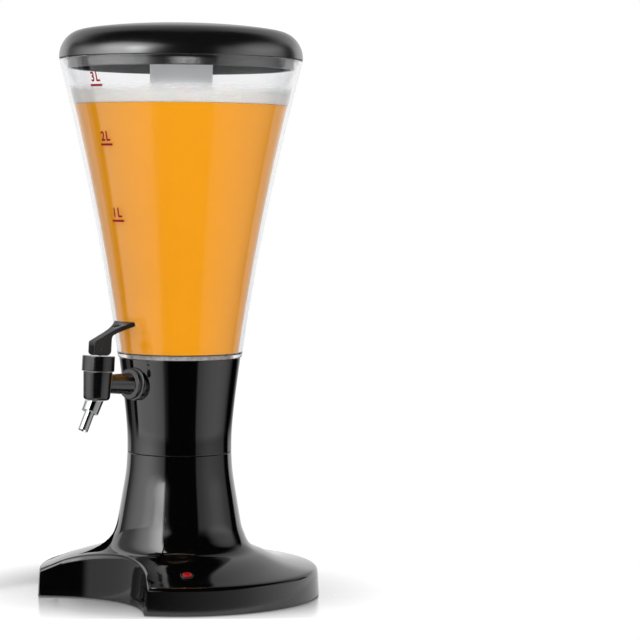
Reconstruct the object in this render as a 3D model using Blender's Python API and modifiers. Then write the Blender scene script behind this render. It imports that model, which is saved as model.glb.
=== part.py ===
"""Beer tower dispenser: a clear tapered container on a black collar and flared foot, with a side tap.

Units are metres and +Z is up. The origin is on the table, under the middle of the whole tower's box.
The tap and the bay for the glass face -Y.
"""

import math

import bmesh
import bpy
import numpy as np
from mathutils import Matrix, Vector

# Clearances and cuts shared by all pieces
SEAT_GAP = 0.0003
RUNNING_GAP = 0.00015
CUT_OVERRUN = 0.004
WELD_DISTANCE = 0.00001
RING_STEPS = 40
LENS_STEPS = 32
TAP_STEPS = 24
ROD_STEPS = 20
SMALL_STEPS = 12
CORNER_STEPS = 3
NUT_SIDES = 6
SMOOTH_ANGLE = math.radians(40)

# Foot shell
RIM_HALF_WIDTH = 0.1138
RIM_HALF_DEPTH = 0.1120
RIM_HEIGHT = 0.0216
RIM_DRAFT = 0.0012
RIM_EDGE_RADIUS = 0.0030
RIM_LIFT = 0.0008
NECK_RADIUS = 0.0416
FOOT_HEIGHT = 0.1142
FOOT_WALL = 0.0030
SOCKET_DEPTH = 0.0161
DIAPHRAGM_THICKNESS = 0.0030
BAY_RADIUS = 0.0830
BAY_DRAFT_SHARE = 0.10
BAY_CENTRE_OUT = 0.1510
BAY_STEPS = 56
WIRE_HOLE_RADIUS = 0.0030
WIRE_HOLE_OUT = 0.0120
# How far the axis of the column stands forward of the origin
COLUMN_FORWARD = 0.0034
# How far the flare stands forward of the neck at most, and how far out from the neck that is
FLARE_LEAN = 0.0088
FLARE_LEAN_POWER = 1.5
# Outline of the flare: share of the way from neck to rim, share of the way from rim top to seam
FLARE_SHARES = (
    (0.000, 1.000),
    (0.011, 0.860),
    (0.049, 0.665),
    (0.104, 0.419),
    (0.124, 0.352),
    (0.161, 0.283),
    (0.214, 0.208),
    (0.270, 0.174),
    (0.377, 0.147),
    (0.548, 0.108),
    (0.719, 0.063),
)

# Bottom plate, its screws and the rubber feet. Places are shares of the rim's half width and half depth
PLATE_LIFT = 0.0015
PLATE_THICKNESS = 0.0035
BOSS_RADIUS = 0.0042
BOSS_SHARES = (0.693, 0.426)
PILOT_RADIUS = 0.0013
PILOT_DEPTH = 0.0095
SCREW_RADIUS = 0.0010
SCREW_LENGTH = 0.0080
SCREW_HEAD_RADIUS = 0.0028
SCREW_HEAD_HEIGHT = 0.0014
SCREW_SOCKET_RADIUS = 0.0011
SCREW_SOCKET_DEPTH = 0.0008
PAD_RADIUS = 0.0070
PAD_THICKNESS = 0.0027
PAD_FRONT_SHARES = (0.608, 0.625)
PAD_BACK_SHARES = (0.557, 0.682)

# Battery compartment
BATTERY_RADIUS = 0.0071
BATTERY_LENGTH = 0.0492
BATTERY_NUB_RADIUS = 0.0026
BATTERY_NUB_LENGTH = 0.0012
BATTERY_SPACING = 0.0150
BATTERY_COUNT = 3
TUB_MIDDLE_Y = 0.0380
TUB_WALL = 0.0016
CONTACT_THICKNESS = 0.0005
CONTACT_HEIGHT = 0.0100
COVER_THICKNESS = 0.0020
COVER_LEDGE = 0.0025
COVER_TAB = 0.0090
COVER_BOSS_HEIGHT = 0.0075

# Light on top of the foot
BOARD_RADIUS = 0.0300
BOARD_THICKNESS = 0.0016
LED_RADIUS = 0.0025
LED_HEIGHT = 0.0060
LED_CIRCLE_RADIUS = 0.0160
LED_COUNT = 4
LENS_RADIUS = 0.0345
LENS_WALL = 0.0016
LENS_HEIGHT = 0.0150
LENS_EDGE = 0.0020

# Push button of the light, at shares of the rim's half width and half depth
SWITCH_SHARES = (0.638, 0.529)
SWITCH_FLANGE_RADIUS = 0.0052
SWITCH_FLANGE_HEIGHT = 0.0010
SWITCH_FLANGE_EDGE = 0.0004
SWITCH_BARREL_RADIUS = 0.0045
SWITCH_BARREL_LENGTH = 0.0125
SWITCH_FLOOR = 0.0010
SWITCH_NUT_RADIUS = 0.0072
SWITCH_NUT_HEIGHT = 0.0020
BUTTON_RADIUS = 0.0035
BUTTON_PROUD = 0.0018
BUTTON_LENGTH = 0.0070
BUTTON_EDGE = 0.0006
BUTTON_SPRING_RADIUS = 0.0024
BUTTON_SPRING_WIRE_RADIUS = 0.0003
BUTTON_SPRING_TURNS = 4
LEAD_RADIUS = 0.0008

# Collar between foot and container
COLLAR_HEIGHT = 0.0758
COLLAR_TOP_RADIUS = 0.0486
COLLAR_WALL = 0.0026
SPIGOT_DEPTH = 0.0120
SPIGOT_WALL = 0.0024
# Outline of the collar: share of its height, share of the way from neck to top radius
COLLAR_SHARES = (
    (0.000, 0.000),
    (0.200, 0.030),
    (0.389, 0.186),
    (1.000, 1.000),
)

# Container
LEDGE_RADIUS = 0.0496
LEDGE_THICKNESS = 0.0035
CONTAINER_RIM_RADIUS = 0.0968
CONTAINER_RISE = 0.2359
CONTAINER_WALL = 0.0024
CONTAINER_FLOOR = 0.0025
WELL_DEPTH = 0.0378
WELL_CORNER = 0.0040
STRAIGHT_SHARE = 0.697
CONE_STEPS = 5
TUBE_RING_WALL = 0.0018
TUBE_RING_HEIGHT = 0.0050

# Ice tube
ICE_TOP_RADIUS = 0.0254
ICE_BOTTOM_RADIUS = 0.0202
ICE_HEIGHT = 0.2905
ICE_WALL = 0.0020
ICE_FLOOR = 0.0025
ICE_CORNER = 0.0030
ICE_STEPS = 28

# Lid
LID_RADIUS = 0.0968
LID_HEIGHT = 0.0275
LID_WALL = 0.0026
SKIRT_RADIUS = 0.0898
SKIRT_WALL = 0.0022
SKIRT_DROP = 0.0065
LID_RING_WALL = 0.0018
LID_RING_DROP = 0.0045
# Outline of the lid: share of its radius, share of its height
LID_SHARES = (
    (0.000, 1.000),
    (0.440, 0.978),
    (0.640, 0.916),
    (0.775, 0.853),
    (0.871, 0.765),
    (0.930, 0.625),
    (0.970, 0.440),
    (0.991, 0.265),
    (1.000, 0.000),
)

# Tap body
TAP_OUT = 0.0872
TAP_RISE = 0.0588
TAP_TILT = math.radians(3.5)
TAP_BODY_TOP_RADIUS = 0.0114
TAP_BODY_LOW_RADIUS = 0.01025
TAP_BODY_RISE = 0.0095
TAP_BODY_DROP = 0.0128
TAP_BODY_CORNER = 0.0024
TAP_NECK_RADIUS = 0.0090
TAP_NECK_RISE = 0.0064
CHAMBER_RADIUS = 0.0065
CHAMBER_DROP = 0.0093
SHANK_RADIUS = 0.00775
SHANK_START_RADIUS = 0.0070
SHANK_END_RADIUS = 0.0083
SHANK_BORE_RADIUS = 0.0040
SHANK_LENGTH = 0.0590
FLANGE_RADIUS = 0.0120
FLANGE_THICKNESS = 0.0025
OUTER_WASHER_THICKNESS = 0.0015
OUTER_WASHER_RADIUS = 0.0115
BOSS_FACE_OUT = 0.0372
COLLAR_BOSS_RADIUS = 0.0130
COLLAR_BOSS_LENGTH = 0.0120
PAD_FACE_OUT = 0.0500
PAD_FACE_RADIUS = 0.0120
SHANK_CLEARANCE = 0.00035
INNER_WASHER_RADIUS = 0.0112
INNER_WASHER_THICKNESS = 0.0020
SHANK_NUT_RADIUS = 0.0120
SHANK_NUT_THICKNESS = 0.0050

# Bonnet, gland and seal on top of the tap
BONNET_RADIUS = 0.01265
BONNET_HEIGHT = 0.0119
BONNET_EDGE = 0.0010
BONNET_ROOF = 0.0012
GLAND_THICKNESS = 0.0018
SEAL_MIDDLE_RADIUS = 0.0035
SEAL_SECTION_RADIUS = 0.0008
SEAL_SECTION_STEPS = 6

# Valve stem, its washer and spring
STEM_RADIUS = 0.0024
STEM_FLANGE_RADIUS = 0.0052
STEM_FLANGE_THICKNESS = 0.0015
STEM_STUB_RADIUS = 0.0015
SEAT_WASHER_RADIUS = 0.0050
SEAT_WASHER_THICKNESS = 0.0025
STEM_DOME_SHARES = ((0.0, 1.0), (0.6, 0.8), (0.9, 0.436), (1.0, 0.0))
TAP_SPRING_RADIUS = 0.0039
TAP_SPRING_WIRE_RADIUS = 0.00045
TAP_SPRING_TURNS = 5

# Spout
SPOUT_START_DROP = 0.0077
SPOUT_LEAN = math.radians(23.5)
NIPPLE_RADIUS = 0.0048
NIPPLE_REACH = 0.0121
OUTLET_RADIUS = 0.0029
ADAPTER_TOP_RADIUS = 0.0071
ADAPTER_LOW_RADIUS = 0.0066
ADAPTER_REACH = 0.0158
ADAPTER_EDGE = 0.0005
ADAPTER_WEB = 0.0009
SPOUT_RADIUS = 0.00385
SPOUT_WALL = 0.0008
SPOUT_LENGTH = 0.0176

# Lever and its pin
PIN_RISE = 0.0050
PIN_RADIUS = 0.0009
PIN_END_RECESS = 0.0002
LEVER_LIFT_PER_RADIAN = 0.0034
LEVER_TRAVEL = math.radians(40)
LEVER_CAM_STEPS = 5
LEVER_FRONT = 0.0076
LEVER_BACK = 0.0092
LEVER_HALF_WIDTH = 0.0040
LEVER_CORNER = 0.0040
LEVER_NOSE = 0.0018
PADDLE_SLOPE = math.radians(26.5)
PADDLE_THICKNESS = 0.0033
PADDLE_REACH = 0.0250
PADDLE_END_RISE = 0.0222
PADDLE_HALF_WIDTH = 0.01165
PADDLE_FILLET = 0.0022
SLOT_GAP = 0.00025
# Flare of the paddle: share of the way from block to end, share of the added half width
PADDLE_SHARES = ((0.0, 0.0), (0.25, 0.09), (0.5, 0.28), (0.72, 0.56), (0.9, 0.86), (1.0, 1.0))

# Places worked out from the sizes above
rim_top_radius = RIM_HALF_WIDTH - RIM_DRAFT
collar_base = FOOT_HEIGHT + SEAT_GAP
collar_top = collar_base + COLLAR_HEIGHT
ledge_base = collar_top + SEAT_GAP
tap_height = collar_base + TAP_RISE
container_top = ledge_base + CONTAINER_RISE
well_floor = ledge_base - WELL_DEPTH
lid_base = container_top + SEAT_GAP
socket_floor = FOOT_HEIGHT - SOCKET_DEPTH
socket_radius = NECK_RADIUS - FOOT_WALL
plate_top = PLATE_LIFT + PLATE_THICKNESS
bonnet_base = TAP_BODY_RISE + SEAT_GAP
bonnet_top = bonnet_base + BONNET_HEIGHT
pin_height = bonnet_top + PIN_RISE


for old_object in list(bpy.data.objects):
    bpy.data.objects.remove(old_object)
parts = bpy.data.collections.new("beer_tower_dispenser")
cutters = bpy.data.collections.new("cutters")
for collection in (parts, cutters):
    bpy.context.scene.collection.children.link(collection)


def new_material(name, colour, roughness, metallic=0.0):
    """Principled material with linear RGB colour."""
    material = bpy.data.materials.new(name)
    material.use_nodes = True
    shader = material.node_tree.nodes["Principled BSDF"]
    shader.inputs["Base Color"].default_value = (*colour, 1.0)
    shader.inputs["Roughness"].default_value = roughness
    shader.inputs["Metallic"].default_value = metallic
    material.diffuse_color = (*colour, 1.0)
    return material


GLOSS_BLACK = new_material("gloss_black", (0.006, 0.006, 0.007), 0.12)
MATT_BLACK = new_material("matt_black", (0.015, 0.015, 0.016), 0.45)
TAP_BLACK = new_material("tap_black", (0.008, 0.008, 0.009), 0.22)
LID_BLACK = new_material("lid_black", (0.009, 0.009, 0.010), 0.28)
CLEAR = new_material("clear_plastic", (0.92, 0.93, 0.93), 0.05)
FROSTED = new_material("frosted_plastic", (0.85, 0.86, 0.88), 0.35)
CHROME = new_material("chrome", (0.80, 0.81, 0.82), 0.08, 1.0)
STEEL = new_material("steel", (0.62, 0.62, 0.63), 0.28, 1.0)
RED = new_material("red_plastic", (0.62, 0.02, 0.02), 0.30)
RUBBER = new_material("rubber", (0.02, 0.02, 0.02), 0.85)
WHITE = new_material("white_plastic", (0.75, 0.75, 0.73), 0.45)
BOARD_GREEN = new_material("circuit_board", (0.02, 0.16, 0.06), 0.40)
BATTERY_GREY = new_material("battery_jacket", (0.18, 0.19, 0.21), 0.35)
COPPER_RED = new_material("lead_red", (0.45, 0.03, 0.03), 0.45)


def place(shape, material, parent=None, location=(0, 0, 0), rotation=(0, 0, 0)):
    """Puts a finished shape in the parts collection, or in the cutters when it has no material."""
    if material:
        shape.data.materials.append(material)
        parts.objects.link(shape)
    else:
        cutters.objects.link(shape)
        shape.hide_render = True
        shape.display_type = "WIRE"
    shape.parent = parent
    shape.location = location
    shape.rotation_euler = rotation
    return shape


def new_axis(name, parent=None, location=(0, 0, 0), rotation=(0, 0, 0)):
    """Empty that pieces are placed on."""
    axis = bpy.data.objects.new(name, None)
    parts.objects.link(axis)
    axis.parent = parent
    axis.location = location
    axis.rotation_euler = rotation
    return axis


def turned(name, profile, steps=ROD_STEPS):
    """Profile of (radius, height) points turned about Z: a closed loop unless both ends are on Z."""
    mesh = bpy.data.meshes.new(name)
    edges = [(i, i + 1) for i in range(len(profile) - 1)]
    if profile[0][0] > 0 or profile[-1][0] > 0:
        edges.append((len(profile) - 1, 0))
    mesh.from_pydata([(radius, 0, height) for radius, height in profile], edges, [])
    shape = bpy.data.objects.new(name, mesh)
    screw = shape.modifiers.new("turn", "SCREW")
    screw.steps = screw.render_steps = steps
    screw.use_merge_vertices = True
    screw.merge_threshold = WELD_DISTANCE
    screw.use_smooth_shade = True
    return shape


def rod(name, radius, low, high, steps=ROD_STEPS):
    """Cylinder about Z from the height low to the height high."""
    mesh = bpy.data.meshes.new(name)
    form = bmesh.new()
    bmesh.ops.create_cone(
        form, cap_ends=True, segments=steps, radius1=radius, radius2=radius, depth=high - low
    )
    bmesh.ops.translate(form, vec=(0, 0, (low + high) / 2), verts=form.verts)
    form.to_mesh(mesh)
    form.free()
    mesh.shade_smooth()
    mesh.set_sharp_from_angle(angle=SMOOTH_ANGLE)
    return bpy.data.objects.new(name, mesh)


def block(name, low, high):
    """Box between two corners."""
    mesh = bpy.data.meshes.new(name)
    form = bmesh.new()
    bmesh.ops.create_cube(form, size=1)
    spans = [top - bottom for bottom, top in zip(low, high)]
    middle = [(top + bottom) / 2 for bottom, top in zip(low, high)]
    bmesh.ops.scale(form, vec=spans, verts=form.verts)
    bmesh.ops.translate(form, vec=middle, verts=form.verts)
    form.to_mesh(mesh)
    form.free()
    return bpy.data.objects.new(name, mesh)


def plate(name, outline, half_thickness, turn=None):
    """Flat outline in its own XY plane, thickened both ways and turned by a matrix."""
    curve = bpy.data.curves.new(name, "CURVE")
    curve.dimensions = "2D"
    curve.fill_mode = "BOTH"
    curve.extrude = half_thickness
    spline = curve.splines.new("POLY")
    spline.points.add(len(outline) - 1)
    spline.use_cyclic_u = True
    for point, (across, up) in zip(spline.points, outline):
        point.co = (across, up, 0, 1)
    drawn = bpy.data.objects.new(name, curve)
    parts.objects.link(drawn)
    bpy.context.view_layer.update()
    graph = bpy.context.evaluated_depsgraph_get()
    mesh = bpy.data.meshes.new_from_object(drawn.evaluated_get(graph))
    bpy.data.objects.remove(drawn)
    form = bmesh.new()
    form.from_mesh(mesh)
    bmesh.ops.remove_doubles(form, verts=form.verts, dist=WELD_DISTANCE)
    bmesh.ops.transform(form, matrix=turn or Matrix(), verts=form.verts)
    bmesh.ops.recalc_face_normals(form, faces=form.faces)
    form.to_mesh(mesh)
    form.free()
    return bpy.data.objects.new(name, mesh)


def lofted(name, sections, steps=RING_STEPS):
    """Solid through oval sections from top to bottom, as foot_section gives them."""
    form = bmesh.new()
    rings = []
    for half_width, half_depth, forward, height in sections:
        ring = []
        for step in range(steps):
            angle = 2 * math.pi * step / steps
            across = half_width * math.cos(angle)
            back = half_depth * math.sin(angle) - forward
            ring.append(form.verts.new((across, back, height)))
        rings.append(ring)
    for upper, lower in zip(rings, rings[1:]):
        for step in range(steps):
            after = (step + 1) % steps
            form.faces.new((upper[step], lower[step], lower[after], upper[after]))
    form.faces.new(rings[0])
    form.faces.new(rings[-1][::-1])
    mesh = bpy.data.meshes.new(name)
    bmesh.ops.recalc_face_normals(form, faces=form.faces)
    form.to_mesh(mesh)
    form.free()
    mesh.shade_smooth()
    mesh.set_sharp_from_angle(angle=SMOOTH_ANGLE)
    return bpy.data.objects.new(name, mesh)


def wound(name, radius, wire_radius, low, high, turns, points_per_turn=8):
    """Coil spring about Z between two heights, as a bevelled curve."""
    curve = bpy.data.curves.new(name, "CURVE")
    curve.dimensions = "3D"
    curve.bevel_depth = wire_radius
    curve.bevel_resolution = 1
    curve.use_fill_caps = True
    spline = curve.splines.new("POLY")
    count = turns * points_per_turn
    spline.points.add(count)
    for step, point in enumerate(spline.points):
        angle = 2 * math.pi * step / points_per_turn
        climb = low + wire_radius + (high - low - 2 * wire_radius) * step / count
        point.co = (radius * math.cos(angle), radius * math.sin(angle), climb, 1)
    return bpy.data.objects.new(name, curve)


def lead(name, route, radius=LEAD_RADIUS, points=14):
    """Insulated lead along a smooth curve through its route."""
    curve = bpy.data.curves.new(name, "CURVE")
    curve.dimensions = "3D"
    curve.bevel_depth = radius
    curve.bevel_resolution = 1
    curve.use_fill_caps = True
    spline = curve.splines.new("POLY")
    spline.points.add(points - 1)
    for step, point in enumerate(spline.points):
        point.co = (*bezier_point(route, step / (points - 1)), 1)
    return bpy.data.objects.new(name, curve)


def bezier_point(controls, share):
    """Point of a Bezier curve of any degree."""
    level = [Vector(control) for control in controls]
    while len(level) > 1:
        level = [first.lerp(second, share) for first, second in zip(level, level[1:])]
    return level[0]


def boolean(shape, other, operation="DIFFERENCE"):
    """Adds an exact Boolean with another shape."""
    step = shape.modifiers.new(operation.lower() + "_" + other.name, "BOOLEAN")
    step.operation = operation
    step.solver = "EXACT"
    step.object = other
    return shape


def offset(points, distance):
    """Polyline moved sideways by a distance, to the right of its direction."""
    moved = []
    for i, point in enumerate(points):
        before = Vector(points[max(i - 1, 0)])
        here = Vector(point)
        after = Vector(points[min(i + 1, len(points) - 1)])
        sides = []
        for start, end in ((before, here), (here, after)):
            if (end - start).length > 0:
                run = (end - start).normalized()
                sides.append(Vector((run.y, -run.x)))
        side = sum(sides, Vector((0, 0))).normalized()
        moved.append(tuple(here + side * distance / side.dot(sides[0])))
    return moved


def arc(centre, radius, start, end, steps):
    """Points of an arc in a flat outline, ends included."""
    angles = np.linspace(math.radians(start), math.radians(end), steps + 1)
    return [(centre[0] + radius * math.cos(a), centre[1] + radius * math.sin(a)) for a in angles]


def height_of(points, radius):
    """Height of a falling outline at a radius."""
    return float(np.interp(radius, [point[0] for point in points], [point[1] for point in points]))


def radius_of(points, height):
    """Radius of an outline at a height. Its points run from top to bottom."""
    rising = points[::-1]
    return float(np.interp(height, [point[1] for point in rising], [point[0] for point in rising]))


def flare_outline():
    """Flare of the foot through its long half axis, from the seam down to the rim."""
    return [
        (
            NECK_RADIUS + out * (rim_top_radius - NECK_RADIUS),
            RIM_HEIGHT + up * (FOOT_HEIGHT - RIM_HEIGHT),
        )
        for out, up in FLARE_SHARES
    ]


def foot_outline():
    """Outer side of the foot through its long half axis, with the rounded rim."""
    edge_centre = (rim_top_radius - RIM_EDGE_RADIUS, RIM_HEIGHT - RIM_EDGE_RADIUS)
    edge = arc(edge_centre, RIM_EDGE_RADIUS, 88, 4, CORNER_STEPS)
    return flare_outline() + edge + [(RIM_HALF_WIDTH, RIM_LIFT)]


def foot_section(radius, height):
    """Section of the foot: half width, half depth, how far it stands forward, and its height.

    The sections are round at the neck and oval at the rim. Between them they stand forward of both.
    """
    out = (radius - NECK_RADIUS) / (RIM_HALF_WIDTH - NECK_RADIUS)
    half_depth = NECK_RADIUS + (RIM_HALF_DEPTH - NECK_RADIUS) * out
    forward = FLARE_LEAN * math.sin(math.pi * max(out, 0) ** FLARE_LEAN_POWER) ** 2
    return radius, half_depth, forward, height


def foot_radius_through(x, y):
    """Long half axis of the foot section that passes over a point of the plan."""
    low, high = NECK_RADIUS, RIM_HALF_WIDTH
    for _ in range(40):
        middle = (low + high) / 2
        half_width, half_depth, forward, _ = foot_section(middle, 0)
        inside = (x / half_width) ** 2 + ((y + forward) / half_depth) ** 2 < 1
        low, high = (low, middle) if inside else (middle, high)
    return (low + high) / 2


def foot_top(x, y):
    """Point of the foot's upper surface over a point of the plan."""
    return Vector((x, y, height_of(foot_outline(), foot_radius_through(x, y))))


def collar_outline(inset=0.0):
    """Outer side of the collar moved in by an inset, from its top down to the seam."""
    return [
        (
            NECK_RADIUS + out * (COLLAR_TOP_RADIUS - NECK_RADIUS) - inset,
            collar_base + up * COLLAR_HEIGHT,
        )
        for up, out in COLLAR_SHARES[::-1]
    ]


def cone_outline(inset=0.0):
    """Side of the container moved in by an inset, from its rim down to the ledge."""
    points = []
    for step in range(CONE_STEPS, -1, -1):
        up = step / CONE_STEPS
        out = STRAIGHT_SHARE * up + (1 - STRAIGHT_SHARE) * up * up
        radius = LEDGE_RADIUS + out * (CONTAINER_RIM_RADIUS - LEDGE_RADIUS)
        points.append((radius - inset, ledge_base + up * CONTAINER_RISE))
    return points


def rim_place(shares):
    """Place in plan at shares of the rim's half width and half depth."""
    return shares[0] * RIM_HALF_WIDTH, shares[1] * RIM_HALF_DEPTH


def boss_places():
    """Where the screw bosses stand, one in each quadrant."""
    x, y = rim_place(BOSS_SHARES)
    return [(x, y), (-x, y), (-x, -y), (x, -y)]


def screw_fastener(name, x, y, head_low):
    """Small pan head screw standing point up, its driving socket open below."""
    head_top = head_low + SCREW_HEAD_HEIGHT
    profile = [
        (0, head_top + SCREW_LENGTH),
        (SCREW_RADIUS, head_top + SCREW_LENGTH - SCREW_RADIUS),
        (SCREW_RADIUS, head_top),
        (SCREW_HEAD_RADIUS, head_top),
        (SCREW_HEAD_RADIUS, head_low),
        (SCREW_SOCKET_RADIUS, head_low),
        (SCREW_SOCKET_RADIUS, head_low + SCREW_SOCKET_DEPTH),
        (0, head_low + SCREW_SOCKET_DEPTH),
    ]
    return place(turned(name, profile, SMALL_STEPS), STEEL, location=(x, y, 0))


def bay_radius(height):
    """Radius of the bay at a height. Its wall has draft, so it is widest at the top."""
    return BAY_RADIUS + BAY_DRAFT_SHARE * height


def bay_form(name, inset, low, high):
    """Solid of the bay grown by an inset, between two heights."""
    profile = [(0, high), (bay_radius(high) + inset, high), (bay_radius(low) + inset, low), (0, low)]
    return place(turned(name, profile, BAY_STEPS), None, location=(0, -BAY_CENTRE_OUT, 0))


def make_foot():
    """Moulded foot shell: flared oval skin, glass bay, tower socket, screw bosses and switch hole."""
    outer = foot_outline()
    shell = lofted("foot_shell", [foot_section(*point) for point in outer])
    place(shell, GLOSS_BLACK)

    inner = offset(flare_outline(), FOOT_WALL)
    roof = socket_floor - DIAPHRAGM_THICKNESS
    hollow = [(radius_of(inner, roof), roof)]
    hollow += [point for point in inner if point[1] < roof]
    hollow.append((rim_top_radius - FOOT_WALL, RIM_HEIGHT - FOOT_WALL))
    hollow.append((RIM_HALF_WIDTH - FOOT_WALL, RIM_LIFT - CUT_OVERRUN))
    core = place(lofted("foot_core", [foot_section(*point) for point in hollow]), None)

    bay_top = FOOT_HEIGHT / 2
    boolean(core, bay_form("bay_wall", FOOT_WALL, -2 * CUT_OVERRUN, bay_top + CUT_OVERRUN))
    for number, (x, y) in enumerate(boss_places(), 1):
        boss = rod(f"boss_form_{number}", BOSS_RADIUS, plate_top + SEAT_GAP, bay_top, SMALL_STEPS)
        boolean(core, place(boss, None, location=(x, y, 0)))

    boolean(shell, bay_form("bay_cut", 0, -CUT_OVERRUN, bay_top))
    boolean(shell, core)
    socket = rod("socket_cut", socket_radius, socket_floor, FOOT_HEIGHT + CUT_OVERRUN, RING_STEPS)
    boolean(shell, place(socket, None))
    wire_hole = rod("wire_hole_cut", WIRE_HOLE_RADIUS, roof - CUT_OVERRUN, FOOT_HEIGHT, SMALL_STEPS)
    boolean(shell, place(wire_hole, None, location=(WIRE_HOLE_OUT, 0, 0)))
    for number, (x, y) in enumerate(boss_places(), 1):
        pilot_top = plate_top + PILOT_DEPTH
        pilot = rod(f"pilot_cut_{number}", PILOT_RADIUS, PLATE_LIFT, pilot_top, SMALL_STEPS)
        boolean(shell, place(pilot, None, location=(x, y, 0)))
    return shell


def make_bottom_plate():
    """Plate that closes the foot from below, with the battery tub moulded on it."""
    radius = radius_of(foot_outline(), plate_top) - FOOT_WALL - 2 * SEAT_GAP
    plate_form = lofted(
        "bottom_plate", [foot_section(radius, plate_top), foot_section(radius, PLATE_LIFT)]
    )
    place(plate_form, MATT_BLACK)
    wall = FOOT_WALL + 2 * SEAT_GAP
    boolean(plate_form, bay_form("plate_bay_cut", wall, -CUT_OVERRUN, plate_top + CUT_OVERRUN))

    low, high = tub_inside()
    tub_low = (low[0] - TUB_WALL, low[1] - TUB_WALL, PLATE_LIFT + COVER_THICKNESS + 2 * SEAT_GAP)
    tub_high = (high[0] + TUB_WALL, high[1] + TUB_WALL, high[2] + TUB_WALL)
    boolean(plate_form, place(block("tub_form", tub_low, tub_high), None), "UNION")
    screw_y = cover_screw_y()
    boss_top = plate_top + COVER_BOSS_HEIGHT
    boss = rod("cover_boss_form", BOSS_RADIUS, plate_top - SEAT_GAP, boss_top, SMALL_STEPS)
    boolean(plate_form, place(boss, None, location=(0, screw_y, 0)), "UNION")
    boolean(plate_form, place(block("tub_cut", low, high), None))
    cover_low, cover_high = cover_place()
    recess_low = (cover_low[0] - SEAT_GAP, cover_low[1] - SEAT_GAP, PLATE_LIFT - CUT_OVERRUN)
    recess_high = (cover_high[0] + SEAT_GAP, cover_high[1] + SEAT_GAP, cover_high[2] + SEAT_GAP)
    boolean(plate_form, place(block("cover_cut", recess_low, recess_high), None))
    pilot = rod("cover_pilot_cut", PILOT_RADIUS, 0, boss_top - SEAT_GAP, SMALL_STEPS)
    boolean(plate_form, place(pilot, None, location=(0, screw_y, 0)))

    head_top = PLATE_LIFT + SCREW_HEAD_HEIGHT + SEAT_GAP
    for number, (x, y) in enumerate(boss_places(), 1):
        hole = [
            (0, plate_top + CUT_OVERRUN),
            (PILOT_RADIUS, plate_top + CUT_OVERRUN),
            (PILOT_RADIUS, head_top),
            (SCREW_HEAD_RADIUS + SEAT_GAP, head_top),
            (SCREW_HEAD_RADIUS + SEAT_GAP, PLATE_LIFT - CUT_OVERRUN),
            (0, PLATE_LIFT - CUT_OVERRUN),
        ]
        cut = turned(f"screw_hole_cut_{number}", hole, SMALL_STEPS)
        boolean(plate_form, place(cut, None, location=(x, y, 0)))
    for number, (x, y) in enumerate(pad_places(), 1):
        recess = rod(f"pad_cut_{number}", PAD_RADIUS + SEAT_GAP, 0, PAD_THICKNESS + SEAT_GAP)
        boolean(plate_form, place(recess, None, location=(x, y, 0)))


def pad_places():
    """Where the rubber feet stand."""
    front_x, front_y = rim_place(PAD_FRONT_SHARES)
    back_x, back_y = rim_place(PAD_BACK_SHARES)
    return [(front_x, -front_y), (-front_x, -front_y), (-back_x, back_y), (back_x, back_y)]


def make_rubber_feet():
    for number, (x, y) in enumerate(pad_places(), 1):
        place(rod(f"rubber_foot_{number}", PAD_RADIUS, 0, PAD_THICKNESS), RUBBER, location=(x, y, 0))


def make_base_screws():
    for number, (x, y) in enumerate(boss_places(), 1):
        screw_fastener(f"base_screw_{number}", x, y, PLATE_LIFT)
    screw_fastener("cover_screw", 0, cover_screw_y(), PLATE_LIFT)


def battery_low():
    """Lowest height of the batteries, over their cover."""
    return PLATE_LIFT + COVER_THICKNESS + SEAT_GAP


def tub_inside():
    """Corners of the battery compartment."""
    half_width = (BATTERY_COUNT - 1) / 2 * BATTERY_SPACING + BATTERY_RADIUS + SEAT_GAP
    half_length = BATTERY_LENGTH / 2 + BATTERY_NUB_LENGTH / 2 + CONTACT_THICKNESS + 2 * SEAT_GAP
    low = (-half_width, TUB_MIDDLE_Y - half_length, PLATE_LIFT - CUT_OVERRUN)
    high = (half_width, TUB_MIDDLE_Y + half_length, battery_low() + 2 * BATTERY_RADIUS + SEAT_GAP)
    return low, high


def cover_place():
    """Corners of the battery cover, with the tab for its screw towards the bay."""
    low, high = tub_inside()
    cover_low = (low[0] - COVER_LEDGE, low[1] - COVER_TAB, PLATE_LIFT)
    return cover_low, (high[0] + COVER_LEDGE, high[1] + COVER_LEDGE, PLATE_LIFT + COVER_THICKNESS)


def cover_screw_y():
    return tub_inside()[0][1] - COVER_TAB / 2


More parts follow.
